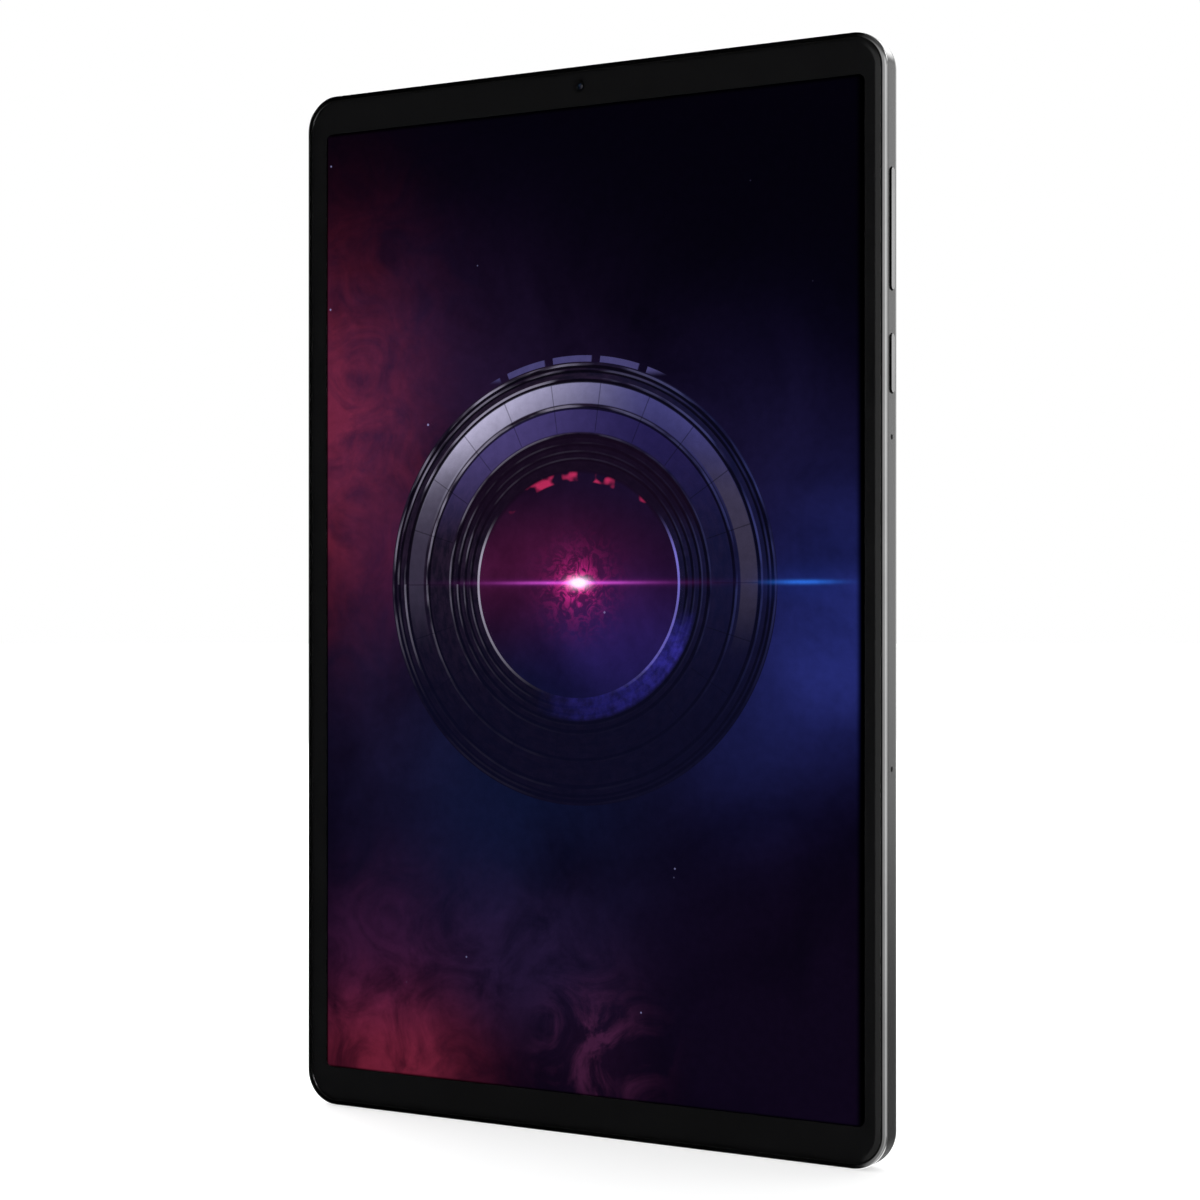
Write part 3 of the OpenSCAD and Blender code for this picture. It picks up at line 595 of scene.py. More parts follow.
def ring_light(g, r, angle, x, z, grit):
    """The colour of the ridged ring, by its radius and its angle in turns, 0 at the left."""
    height = g.step(z, RING_Z + 6, RING_Z + 34)
    left = g.fall(x, RING_X - 26, RING_X + 18)
    right = g.step(x, RING_X - 10, RING_X + 40)
    low = g.fall(z, RING_Z - 30, RING_Z + 12)
    scuffs = g.noise(g.join(g.times(angle, 60.0), g.times(r, 0.9), 0.0), 1.0, 4.0, 0.7)
    colour = g.mix(g.step(scuffs, 0.35, 0.65), rgb(19, 15, 28), rgb(34, 24, 40))
    colour = g.mix(g.times(right, 0.75), colour, rgb(17, 20, 54))
    shine = g.add(g.times(left, 0.75), 0.25)
    outer = g.times(g.band(r, 34.8, 38.6, 0.3), height)
    band_light = g.mix(left, rgb(62, 60, 112), rgb(178, 173, 200))
    sheen = g.step(r, 34.8, 38.6, 0.72, 1.0, "LINEAR")
    colour = g.mix(g.times(outer, sheen), colour, band_light)
    inner = g.times(g.band(r, 29.4, 33.6, 0.5), height)
    colour = g.mix(inner, colour, g.mix(left, rgb(34, 28, 74), rgb(74, 64, 116)))
    near_middle = g.fall(g.math("ABSOLUTE", g.less(z, RING_Z + 7)), 8, 22)
    plates = g.times(g.band(r, 35.2, 38.4, 0.3), near_middle)
    colour = g.mix(g.times(plates, 0.7), colour, rgb(62, 56, 74))
    # fine ridges, each a lit rim beside a dark groove
    broken = g.step(g.noise(g.join(g.times(angle, 14.0), g.times(r, 0.35), 0.0), 1.0, 3.0), 0.4, 0.6)
    for radius, width, light, groove in RIDGES:
        rim = g.band(r, radius, radius + width, 0.14)
        dark = g.times(g.band(r, radius - groove, radius, 0.14), 0.8)
        colour = g.mix(dark, colour, rgb(4, 3, 9))
        lit = g.times(rim, broken, g.step(low, 0, 1, light, light * 0.15, "LINEAR"), shine)
        colour = g.mix(lit, colour, g.mix(right, rgb(152, 146, 166), rgb(96, 104, 190)))
    seams = g.fract(g.times(angle, SEAM_COUNT))
    seam = g.times(g.band(seams, 0.0, 0.014, 0.012), g.band(r, 29.4, 38.6, 0.2))
    colour = g.mix(g.times(seam, 0.5), colour, rgb(8, 8, 16))
    edge = g.times(g.band(r, RING_IN, RING_IN + 0.35, 0.15), g.step(z, RING_Z - 22, RING_Z - 12),
                   g.fall(z, RING_Z + 4, RING_Z + 14))
    rim_light = g.mix(right, rgb(172, 166, 184), rgb(96, 84, 220))
    colour = g.mix(g.times(edge, 0.85), colour, rim_light)
    blue = g.times(g.band(r, 22.0, 25.6, 1.0), g.fall(z, RING_Z - 14, RING_Z - 4),
                   g.step(x, RING_X - 10, RING_X + 4), g.step(grit, 0.3, 0.7, 0.35, 1.0))
    colour = layer(g, colour, blue, rgb(60, 54, 176))
    return g.mix(g.times(low, 0.86), colour, rgb(10, 10, 30))


def stars(g, x, z):
    """A few tiny stars, one in some cells of a coarse grid."""
    flat = g.join(x, 0.0, z)
    near = g.fall(g.cells(flat, 0.16, "F1", 1.0), 0.02, 0.05)
    chosen = g.step(g.noise(flat, 0.045, 1.0), 0.5, 0.6)
    return g.times(near, chosen, 0.6)


def picture(name):
    """The lit panel. Its front shows the picture, and its edges and back are dark glass."""
    g = Graph(name)
    point = g.place()
    x, y, z = g.split(point)
    flat = g.join(x, 0.0, z)
    cloud = g.noise(flat, 0.03, 5.0, 0.55, 0.6)
    wisps = g.noise(flat, 0.075, 7.0, 0.62, 1.2)
    grit = g.noise(flat, 0.5, 4.0, 0.6)
    dx = g.less(x, RING_X)
    dz = g.less(z, RING_Z)
    r = g.math("SQRT", g.add(g.times(dx, dx), g.times(dz, dz)))
    angle = g.add(g.times(g.math("ARCTAN2", dz, dx), 0.5 / math.pi), 0.5)
    colour = sky(g, x, z, cloud, wisps)
    colour = layer(g, colour, stars(g, x, z), rgb(150, 150, 200))
    body = g.band(r, RING_IN, RING_OUT, 0.15)
    blocks = g.times(g.band(r, RING_OUT + 0.2, RING_OUT + 1.3, 0.12), g.step(dz, 39, 40.5),
                     g.step(g.fract(g.times(angle, 26.0)), 0.16, 0.2))
    colour = g.mix(body, colour, ring_light(g, r, angle, x, z, grit))
    colour = g.mix(g.times(blocks, 0.8), colour, rgb(74, 70, 118))
    arch = g.times(g.band(r, 20.0, 21.4, 0.4), g.step(dz, 12, 15))
    glint = g.times(arch, g.step(g.noise(flat, 0.17, 2.0), 0.53, 0.6))
    colour = layer(g, colour, glint, rgb(170, 36, 74))
    dark_arch = g.times(g.band(r, 21.8, 28.4, 0.8), g.step(dz, 6, 16))
    colour = g.mix(g.times(dark_arch, 0.8), colour, rgb(20, 9, 25))
    puff = g.step(g.noise(flat, 0.42, 5.0, 0.65, 1.5), 0.42, 0.6, 0.15, 1.9)
    for centre, size, light, power in FLARES:
        spot = glow(g, x, z, centre, size, power)
        spot = g.times(spot, puff) if size[1] > 2 and centre[0] < 1 else spot
        colour = layer(g, colour, spot, light)
    grain = g.step(grit, 0.2, 0.8, 0.86, 1.14, "LINEAR")
    colour = g.mix(1.0, colour, g.join(grain, grain, grain), "MULTIPLY")
    across = g.times(g.fall(x, 57.2, 58.6), g.step(x, -59.3, -58.9))
    along = g.times(g.step(z, 7.6, 8.2), g.fall(z, 196.4, 197.4))
    front = g.math("LESS_THAN", y, mm_box("lcd_cell")[0].y + 0.02)
    strength = g.times(across, along, PANEL_GAIN)
    light = g.out("Emission", {"Color": colour, "Strength": strength})
    fine = g.noise(point, 1.5, 3.0)
    glass = g.surface(Base_Color=g.mix(fine, grey(14), grey(26)), Roughness=g.step(fine, 0.3, 0.7, 0.1, 0.2),
                      Normal=g.bump(fine, 0.002))
    return g.done(g.out("MixShader", {0: front, 1: glass, 2: light}))


def phosphor(name):
    g = Graph(name)
    grit = g.noise(g.place(), 6.0, 4.0)
    dome = g.step(g.cells(g.place((0.36, 1, 1)), 1.0, "F1", 0.2), 0.2, 0.6)
    colour = g.mix(dome, rgb(236, 206, 92), rgb(236, 232, 214))
    return g.paint(colour, g.step(grit, 0.3, 0.7, 0.35, 0.6), g.bump(grit, 0.02))


def finishes():
    """One procedural material for each slot of the record."""
    return {
        "anodised_shell": metal("anodised_shell", grey(112), grey(119), (0.2, 0.26), 7.0, depth=0.003,
                                metallic=0.92, blotch=0.02),
        "polished_lip": metal("polished_lip", grey(190), grey(202), (0.13, 0.2), 3.0, (1, 1, 1), 0.001),
        "key_metal": metal("key_metal", grey(178), grey(196), (0.2, 0.28), 7.0, depth=0.002),
        "cover_glass": sheet_glass("cover_glass", (0.96, 0.96, 0.97, 1), 1.0, 0.02),
        "black_print": moulded("black_print", grey(18), grey(22), (0.5, 0.65), 2.0, 0.001, spec=0.06),
        "black_adhesive": moulded("black_adhesive", grey(16), grey(34), (0.75, 0.95), 2.0, 0.05, cell=2.5),
        "clear_adhesive": sheet_glass("clear_adhesive", (1, 1, 1, 1), 0.0),
        "display_panel": picture("display_panel"),
        "white_film": moulded("white_film", grey(214), grey(240), (0.4, 0.6), 5.0, 0.003),
        "clear_plastic": light_plate("clear_plastic"),
        "led_yellow": phosphor("led_yellow"),
        "steel_sheet": metal("steel_sheet", grey(150), grey(186), (0.25, 0.42), 1.4, (1, 1, 14), 0.006),
        "graphite": moulded("graphite", grey(38), grey(62), (0.4, 0.6), 1.4, 0.02),
        "flex_film": flex("flex_film", rgb(178, 96, 26), rgb(206, 132, 60)),
        "battery_pouch": pouch("battery_pouch"),
        "circuit_board": board("circuit_board", rgb(8, 52, 40), rgb(28, 104, 74),
                               rgb(222, 184, 104)),
        "chip_black": chip("chip_black"),
        "copper": metal("copper", rgb(178, 98, 62), rgb(214, 136, 96), (0.26, 0.4), 1.6,
                        (12, 1, 1), 0.006),
        "gold_contact": metal("gold_contact", rgb(206, 160, 74), rgb(238, 200, 116),
                              (0.16, 0.28), 5.0, depth=0.002),
        "black_plastic": moulded("black_plastic", grey(20), grey(36), (0.42, 0.62), 4.0, 0.012),
        "island_black": metal("island_black", grey(34), grey(50), (0.28, 0.38), 7.0, depth=0.003,
                              metallic=0.7),
        "cone_film": moulded("cone_film", grey(70), grey(98), (0.35, 0.5), 2.5, 0.02),
        "soft_rubber": moulded("soft_rubber", grey(20), grey(34), (0.6, 0.8), 4.0, 0.02, sheen=0.2),
        "tungsten": metal("tungsten", grey(104), grey(140), (0.4, 0.6), 3.0, depth=0.03),
        "antenna_plastic": moulded("antenna_plastic", grey(78), grey(92), (0.45, 0.6), 7.0, 0.004),
        "spring_steel": metal("spring_steel", rgb(170, 164, 148), rgb(206, 200, 182),
                              (0.2, 0.34), 2.0, (1, 1, 8), 0.004),
    }


FINISHES = finishes()


def dark_lens(name):
    """Coated lens glass: near black, with a painted violet and green coating reflection whose colour turns
    with the slant.
    """
    g = Graph(name)
    slant = g.out("LayerWeight", {"Blend": 0.35}, "Facing")
    fine = g.noise(g.place(), 2.0, 2.0)
    # painted reflection: the colour follows the angle of view
    painted_coating_reflection = g.mix(slant, rgb(16, 14, 40), rgb(34, 70, 66))
    colour = g.mix(g.times(fine, 0.2), painted_coating_reflection, grey(10))
    return g.paint(colour, g.step(fine, 0.3, 0.7, 0.03, 0.07), g.bump(fine, 0.0005), IOR=1.7,
                   Coat_Weight=1.0, Coat_Roughness=0.02)


LENS = dark_lens("lens_glass")
# Painted shade: near black on every side face of the keys, the metal cap's flanks too.
KEY_SIDE_SHADE = moulded("key_side_shade", grey(3), grey(8), (0.6, 0.8), 6.0, 0.004, spec=0.05)
LENS_TUBE = moulded("lens_tube_black", grey(8), grey(15), (0.6, 0.8), 5.0, 0.004, spec=0.1)

# ---------------------------------------------------------------- pieces


def shell_profile():
    """The shell's section: flat side, curve into the rear, and its hollow inside."""
    outer = [(REAR_Y * (1 - math.cos(a)), REAR_Y * math.sin(a)) for a in quarter(18)][::-1]
    inside_r = REAR_Y - SIDE_WALL
    inner = [(REAR_Y - inside_r * math.cos(a), inside_r * math.sin(a)) for a in quarter(10)]
    seat_w, seat_y = 0.6, RIM_Y + 0.55
    rim = [(0, RIM_Y + 0.07), (0.02, RIM_Y + 0.02), (0.07, RIM_Y), (seat_w, RIM_Y), (seat_w, seat_y),
           (SIDE_WALL, seat_y)]
    return outer + rim + inner + [(REAR_Y + 0.5, REAR_Y - FLOOR_T)]


def quarter(steps):
    return [math.radians(90 * i / steps) for i in range(steps + 1)]


def key_slot(node):
    """The opening in the side for a key."""
    mid, half = mm_span(node)
    return stadium((KEY_Y, mid.z), (0.98, half.z - KEY_FLANGE + 0.16))


def grille(z_start, z_end, centre_x):
    """Five cutters for the sound slots in an end."""
    pitch, half = 4.2, (1.5, 0.6)
    return [prism("slot", stadium((centre_x + (i - 2) * pitch, SLOTS_Y), half), "z", z_start, z_end)
            for i in range(5)]


def build_shell():
    """The one-piece metal shell, with the openings that the record's nodes fill."""
    shell = swept("shell_body", shell_profile(), caps=True)
    tray_mid, tray_half = mm_span("tray_faceplate")
    usb_mid, usb_half = mm_span("usb_shell")
    island_half = mm_span("camera_island")[1]
    inner, outer = HALF_W - 3, HALF_W + 1
    rear_start, rear_end = 2, 6
    fit = 0.1
    tray = rounded((0.65, tray_mid.z), (1.1, tray_half.z + fit), 0.35)
    usb = stadium((0, usb_mid.y), (usb_half.x + fit, usb_half.y + fit))
    island_size = (island_half.x - ISLAND_FLANGE + fit, island_half.z - ISLAND_FLANGE + fit)
    strip = rounded((0, mm_span("antenna_window")[0].z), (54.05, 1.05), 0.95)
    cutters = [
        prism("cut", key_slot("volume_key"), "x", inner, outer),
        prism("cut", key_slot("power_key"), "x", inner, outer),
        prism("cut", tray, "x", -outer, -inner + 0.5),
        prism("cut", usb, "z", -1, 5),
        prism("cut", circle(END_MIC, 0.5, 24), "z", -1, 5),
        prism("cut", stadium((ISLAND_X, ISLAND_Z), island_size, 16), "y", rear_start, rear_end),
        prism("cut", strip, "y", rear_start, rear_end),
    ]
    cutters += [prism("cut", circle((KEY_Y, z), 0.5, 24), "x", inner, outer) for z in SIDE_MIC_ZS]
    cutters += grille(-1, 5, BOTTOM_SLOTS_X) + grille(TOP_Z - 5, TOP_Z + 1, TOP_SLOTS_X)
    combine(shell, cutters)
    edged(shell, 0.05)
    return finished(shell, "tablet_body", ["rear_shell"], "anodised_shell")


# screw bosses of the mid frame, each as (x, z)
BOSSES = ((-56, 155.5), (-38, 155), (40, 155.5), (56, 155.5), (-5.5, 190), (40, 190), (-56, 193), (57, 195),
          (-23, 7), (23, 7), (-23, 21), (23, 21))


def carrier_cutters(plate_front, plate_back):
    """What is cut from the mid frame's carrier: the screen's tray, the rear hollow and the pockets."""
    screen_low, screen_high = mm_box("lcd_cell")
    screen_mid = (0, (screen_low.z + screen_high.z) / 2)
    screen_half = (screen_high.x + 0.2, (screen_high.z - screen_low.z) / 2 + 0.2)
    rear_half, rear_r = (HALF_W - 2.6, MID_Z - 2.6), CORNER_R - 2.6
    behind = plate_back - 0.01
    side_pockets = [(135.6, 184.3)] + [(z - 1.7, z + 1.7) for z in SIDE_MIC_ZS]
    pockets = [
        ((-HALF_W, behind, 163.9), (4 - HALF_W, 2, 184.3)),
        ((-4.7, -1.1, -1), (4.7, 2, 8.45)),
        ((BOTTOM_SLOTS_X - 10.5, behind, -1), (BOTTOM_SLOTS_X + 10.5, 2, 4)),
        ((TOP_SLOTS_X - 10.5, behind, TOP_Z - 4), (TOP_SLOTS_X + 10.5, 2, TOP_Z + 1)),
        ((12.5, behind, -1), (15.5, 2, 4)),
        ((-2.3, -5, 198.9), (2.3, 2, 203.5)),
        ((-20.3, -2, 3.6), (-7.7, 0.5, 4.7)),
    ]
    for start, end in side_pockets:
        pockets.append(((HALF_W - 2.75, -2.6, start), (HALF_W, 2, end)))
        pockets.append(((HALF_W - 4, behind, start), (HALF_W, 2, end)))
    return [
        prism("cut", rounded(screen_mid, screen_half, 3), "y", -6, plate_front),
        prism("cut", rounded((0, MID_Z), rear_half, rear_r, 12), "y", plate_back, 2),
        *[block("cut", low, high) for low, high in pockets],
    ]


def build_mid_frame():
    """The bright lip round the glass, and the carrier that lies behind the screen."""
    foot, top, ledge = -3.15, LIP_FRONT_Y, -2.96
    facets = [(0.02, foot - 0.03), (0.07, -3.34), (0.10, -3.38), (0.13, -3.41), (0.39, -3.585),
              (0.42, -3.60), (0.46, -3.613), (0.78, top + 0.015), (0.83, top + 0.01), (0.85, top + 0.04)]
    section = [(0.7, -2.7), (0.7, foot), (0.05, foot), *facets, (0.85, ledge), (1.55, ledge), (1.55, -2.7)]
    lip = swept("mid_frame_body", section, caps=False)
    plate_front, plate_back, inset = -1.0, -0.5, 1.4
    outline = rounded((0, MID_Z), (HALF_W - inset, MID_Z - inset), CORNER_R - inset, CORNER_STEPS)
    carrier = prism("carrier", outline, "y", -2.95, 0.7)
    combine(carrier, carrier_cutters(plate_front, plate_back))
    edged(carrier, 0.12)
    bosses = []
    for place in BOSSES:
        boss = prism("boss", circle(place, 1.6, 32), "y", plate_back - 0.1, 1.65)
        combine(boss, [prism("cut", circle(place, 0.55, 24), "y", plate_back, 3)])
        bosses.append(edged(boss, 0.1))
    body = joined("mid_frame_body", [lip, carrier, *bosses])
    return finished(body, "tablet_body", ["mid_frame"], "polished_lip")


def build_glass():
    """The cover glass: a ground edge, inked black, and a face that falls away in a long soft curve."""
    inset = HALF_W - GLASS_HIGH.x
    front, back = GLASS_LOW.y, GLASS_HIGH.y
    ground, reach, drop = 1.2, 2.4, 0.22
    profile = [(inset + 0.1, back), (inset + 0.03, back - 0.03), (inset, back - 0.1),
               (inset, front + drop + 0.2), (inset + 0.05, front + drop + 0.13)]
    for i in range(13):
        at = ground + (reach - ground) * i / 12
        profile.append((at, front + drop * ((reach - at) / (reach - ground)) ** 2))
    glass = swept("glass_pane", profile, caps=True)
    finished(glass, "tablet_body", ["cover_glass"], "cover_glass", sharp=80)
    glass.data.materials.append(FINISHES["black_print"])
    reach_x = (HALF_W - ground + 0.02) * MM
    reach_z = (MID_Z - ground + 0.02) * MM
    for face in glass.data.polygons:
        outside = abs(face.center.x) > reach_x or abs(face.center.z - MID_Z * MM) > reach_z
        if outside or abs(face.normal.y) < 0.85:
            face.material_index = 1
    return glass


def build_key(name, nub_offsets):
    """A metal cap, a flange that keeps it in the shell, and nubs that press its domes; every side face is
    painted near black as shade.
    """
    low, high = mm_box(name)
    mid, half = mm_span(name)
    centre = (KEY_Y, mid.z)
    cap = pill(centre, (0.76, half.z - KEY_FLANGE - 0.03))
    flange = pill(centre, (1.1, half.z))
    flange_x, flange_t = HALF_W - 1.9, 0.35
    parts = [
        soft_prism("cap", cap, "x", flange_x + 0.3, high.x, 0.02, 0.06),
        soft_prism("flange", flange, "x", flange_x, flange_x + flange_t, 0.05),
    ]
    for offset in nub_offsets:
        nub = disc((KEY_Y, mid.z + offset), 0.5)
        parts.append(soft_prism("nub", nub, "x", low.x + 0.02, flange_x + 0.02, 0.08, 0.0))
    key = finished(joined(name + "_cap", parts), name, [name], "key_metal")
    key.data.materials.append(KEY_SIDE_SHADE)
    # faces that do not face along x take the painted shade
    for face in key.data.polygons:
        if abs(face.normal.x) < 0.6:
            face.material_index = 1
    return key


def build_domes(name, node, count):
    """Dished snap domes of thin sprung steel, with the key in front of them; they are built at rest and do
    not flatten.
    """
    low, high = mm_box(node)
    radius = (high.y - low.y) / 2
    sheet, steps = 0.06, 8
    rise = high.x - low.x
    shares = [i / steps for i in range(steps + 1)]
    outer = [(radius * t, low.x + rise * (1 - t**2)) for t in shares]
    inner = [((radius - sheet) * t, low.x + (rise - sheet) * (1 - t**2)) for t in shares[::-1]]
    parts = []
    for z in (low.z + radius, high.z - radius)[:count]:
        rings = [[(x, u, v) for u, v in circle((KEY_Y, z), max(r, 0.01), 32)] for r, x in outer + inner]
        parts.append(skin("dome", rings))
    domes = finished(joined(name, parts), "tablet_body", [node], "spring_steel")
    domes.modifiers.clear()
    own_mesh(domes)
    return domes


def build_haptic_spring(name, side):
    """A bowed leaf spring between the haptic motor's mass and its case, at one end of the mass."""
    low, high = mm_box("haptic_springs")
    mass_low, mass_high = mm_box("haptic_mass")
    mass_end, far = (mass_high.x, high.x) if side > 0 else (mass_low.x, low.x)
    near = mass_end + side * 0.03
    leaf, steps = 0.1, 16
    bow = [(near + (far - side * leaf - near) * math.sin(math.pi * i / steps),
            low.z + (high.z - low.z) * i / steps) for i in range(steps + 1)]
    outline = bow + [(x + side * leaf, z) for x, z in bow[::-1]]
    spring = prism(name, outline, "y", low.y, high.y)
    spring.data.transform(Matrix.Scale(MM, 4))
    spring.data.materials.append(FINISHES["spring_steel"])
    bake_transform(spring)
    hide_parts("haptic_springs")
    return spring


def build_faceplate():
    """The card tray's outer plate, which follows the shell's side, with the hole for an eject pin."""
    low, high = mm_box("tray_faceplate")
    steps, chamfer = 14, 0.04
    face = []
    for i in range(steps + 1):
        y = low.y + chamfer + (high.y - low.y - 2 * chamfer) * i / steps
        face.append((y, REAR_Y - HALF_W - math.sqrt(REAR_Y**2 - max(y, 0)**2)))
    front, rear = [(low.y, high.x), (low.y, 0.05 - HALF_W)], [(high.y, face[-1][1] + 0.05), (high.y, high.x)]
    section = front + face + rear
    plate = skin("tray_plate", [[(x, y, z) for y, x in section] for z in (low.z, high.z)])
    pin_hole = circle(((low.y + high.y) / 2, PIN_Z), 0.55, 32)
    combine(plate, [prism("cut", pin_hole, "x", -HALF_W - 1, high.x + 1)])
    edged(plate, 0.05)
    return finished(plate, "card_tray", ["tray_faceplate"], "anodised_shell")


def build_island():
    """The raised surround of the rear camera, with a turned rim round each window."""
    low, high = mm_box("camera_island")
    seat_y, step_y = 4.3, 3.05
    half = mm_span("camera_island")[1]
    raised = pill((ISLAND_X, ISLAND_Z), (half.x - ISLAND_FLANGE, half.z - ISLAND_FLANGE), 20)
    flange = pill((ISLAND_X, ISLAND_Z), (half.x, half.z), 20)
    body = soft_prism("camera_surround", raised, "y", step_y, high.y, 0.02, 0.3, 6)
    bottom = soft_prism("flange", flange, "y", low.y, step_y + 0.03, 0.04, 0.04)
    combine(body, [bottom], "UNION")
    holes = []
    for z, through, seat in ((CAMERA_Z, 3.6, 4.5), (LAMP_Z, 1.6, 2.1)):
        holes.append(prism("cut", circle((ISLAND_X, z), through, 64), "y", 1, 6))
        holes.append(prism("cut", circle((ISLAND_X, z), seat, 64), "y", seat_y, 6))
    combine(body, holes)
    edged(body, 0.06)
    return finished(body, "tablet_body", ["camera_island"], "island_black")


def build_windows():
    """Two flush windows: the camera's, with a printed ring round its clear middle, and the lamp's."""
    low, high = mm_box("camera_windows")
    parts = []
    for z, radius in ((CAMERA_Z, 4.45), (LAMP_Z, 2.05)):
        window = disc((ISLAND_X, z), radius, 64)
        parts.append(soft_prism("window", window, "y", low.y, high.y, 0.03, 0.12))
    panes = joined("camera_window_panes", parts)
    finished(panes, "tablet_body", ["camera_windows"], "cover_glass", sharp=70)
    panes.data.materials[0] = window_glass("window_glass")
    return panes


def window_glass(name):
    """Clear glass over a black printed ring, on the camera's window and the lamp's."""
    g = Graph(name)
    x, _, z = g.split(g.place())
    dx = g.less(x, ISLAND_X)

    def clear_within(centre_z, radius, soft):
        dz = g.less(z, centre_z)
        distance = g.math("SQRT", g.add(g.times(dx, dx), g.times(dz, dz)))
        return g.fall(distance, radius, radius + soft)

    clear = g.math("MAXIMUM", clear_within(CAMERA_Z, 2.75, 0.05), clear_within(LAMP_Z, 1.5, 0.04))
    fine = g.noise(g.place(), 1.0, 2.0)
    ink = g.surface(Base_Color=g.mix(fine, grey(9), grey(16)), Roughness=g.step(fine, 0.3, 0.7, 0.04, 0.09),
                    Normal=g.bump(fine, 0.0005))
    see = g.out("BsdfTransparent", {"Color": (0.94, 0.94, 0.96, 1)})
    mirror = g.out("BsdfGlossy", {"Roughness": g.times(fine, 0.05)})
    pane = g.out("MixShader", {0: mirror_share(g), 1: see, 2: mirror})
    return g.done(g.out("MixShader", {0: clear, 1: ink, 2: pane}))


def turned(name, centre, profile, steps=64):
    """A turned shape about the Y axis through centre, from a profile of (radius, y)."""
    rings = []
    for radius, y in profile:
        rings.append([(x, y, z) for x, z in circle(centre, max(radius, 0.01), steps)])
    return skin(name, rings)


def with_lens(name, parts, lens, body, node):
    """Joins parts and a lens into the piece for node, with the lens in its own glass."""
    lens_count = len(lens.data.polygons)
    piece = finished(joined(name, [*parts, lens]), body, [node], "black_plastic", sharp=35)
    piece.data.materials.append(LENS)
    first = len(piece.data.polygons) - lens_count
    for face in piece.data.polygons:
        if face.index >= first:
            face.material_index = 1
    return piece


def build_rear_lens():
    """The camera's barrel with stepped rings and a domed front element."""
    low, high = mm_box("lens_barrel")
    centre = (ISLAND_X, CAMERA_Z)
    outer = high.x - ISLAND_X
    # steps inside the mouth, as (radius, depth below the front)
    mouth = ((outer - 0.12, 0), (2.6, 0), (2.5, 0.06), (2.35, 0.14), (2.3, 0.3), (2.05, 0.34), (2.0, 0.52),
             (1.78, 0.56), (1.72, 0.74), (1.62, 0.78))
    barrel = turned("lens_tube", centre, [
        (1.62, low.y), (outer - 0.1, low.y), (outer, low.y + 0.1), (outer, high.y - 0.12),
        *[(radius, high.y - depth) for radius, depth in mouth]])
    dome = [(1.6 * math.sin(a), 2.62 + 0.42 * math.cos(a)) for a in quarter(10)[::-1]]
    element = turned("front_element", centre, [(0.01, 2.3), (1.6, 2.3), *dome])
    return with_lens("rear_lens_barrel", [barrel], element, "lens_barrel", "lens_barrel")


def build_front_camera():
    """The small front camera under the glass: a square module, a stepped cone and a lens."""
    low, high = mm_box("front_camera")
    centre = (0, (low.z + high.z) / 2)
    front = low.y
    module = soft_prism("module", slab(centre, (high.x, high.x), 0.4), "y", -1.6, high.y, 0.08, 0.08)
    mouth = [(1.05, front + 0.06), (0.95, front + 0.2), (0.64, front + 0.34)]
    tube = turned("tube", centre, [(1.0, -1.2), (1.7, -1.5), (1.7, front + 0.08), (1.62, front),
                                   (1.12, front), *mouth])
    dome = [(0.6 * math.sin(a), front + 0.42 - 0.2 * math.cos(a)) for a in quarter(8)[::-1]]
    lens = turned("lens", centre, [(0.01, front + 0.7), (0.6, front + 0.7), *dome])
    camera = with_lens("front_camera_module", [module, tube], lens, "tablet_body", "front_camera")
    camera.data.materials[0] = LENS_TUBE
    return camera


def build_usb():
    """The socket's drawn steel shell, with a rolled mouth and two spring windows."""
    low, high = mm_box("usb_shell")
    mid, half = mm_span("usb_shell")
    outside = pill((0, mid.y), (half.x, half.y), 16)
    sheet = 0.3
    shell = soft_prism("usb_socket", outside, "z", low.z, high.z, 0.12, 0.25)
    bore = prism("cut", outside(sheet), "z", low.z - 1, high.z - sheet)
    springs = [block("cut", (x - 0.5, high.y - 0.4, 3.2), (x + 0.5, high.y + 1, 5.8)) for x in (-2, 2)]
    combine(shell, [bore, *springs])
    edged(shell, 0.05)
    return finished(shell, "tablet_body", ["usb_shell"], "steel_sheet")


def build_tongue():
    """The socket's tongue, with a rounded nose and a thicker root."""
    low, high = mm_box("usb_tongue")
    mid, half = mm_span("usb_tongue")
    centre = (0, mid.y)
    parts = [
        soft_prism("tongue", slab(centre, (3.35, 0.35), 0.12), "z", low.z, high.z, 0.1, 0.02),
        soft_prism("root", pill(centre, (half.x, half.y)), "z", high.z - 1.4, high.z, 0.05, 0.02),
    ]
    return finished(joined("usb_tongue_bar", parts), "tablet_body", ["usb_tongue"], "black_plastic")


def build_contacts():
    """Gold contacts on the tongue, twelve a side."""
    mid_y = mm_span("usb_tongue")[0].y
    count, pitch = 12, 0.5
    parts = []
    for side in (-1, 1):
        for i in range(count):
            pad = slab(((i - (count - 1) / 2) * pitch, 4.1), (0.125, 2.0), 0.05)
            parts.append(soft_prism("pad", pad, "y", mid_y + side * 0.3, mid_y + side * 0.37, 0.01, 0.02, 2))
    return finished(joined("usb_contacts", parts), "tablet_body", [], "gold_contact")


def build_antenna():
    """The plastic strip in the rear, with the wider foot that holds it inside."""
    low = mm_box("antenna_window")[0]
    centre = (0, mm_span("antenna_window")[0].z)
    parts = [
        soft_prism("strip", slab(centre, (54, 1), 0.9), "y", REAR_Y - FLOOR_T, REAR_Y, 0.02, 0.06),
        soft_prism("foot", slab(centre, (54.6, 1.6), 1.4, 1), "y", low.y, low.y + 0.28, 0.04, 0.02),
    ]
    return finished(joined("antenna_strip", parts), "tablet_body", ["antenna_window"], "antenna_plastic")


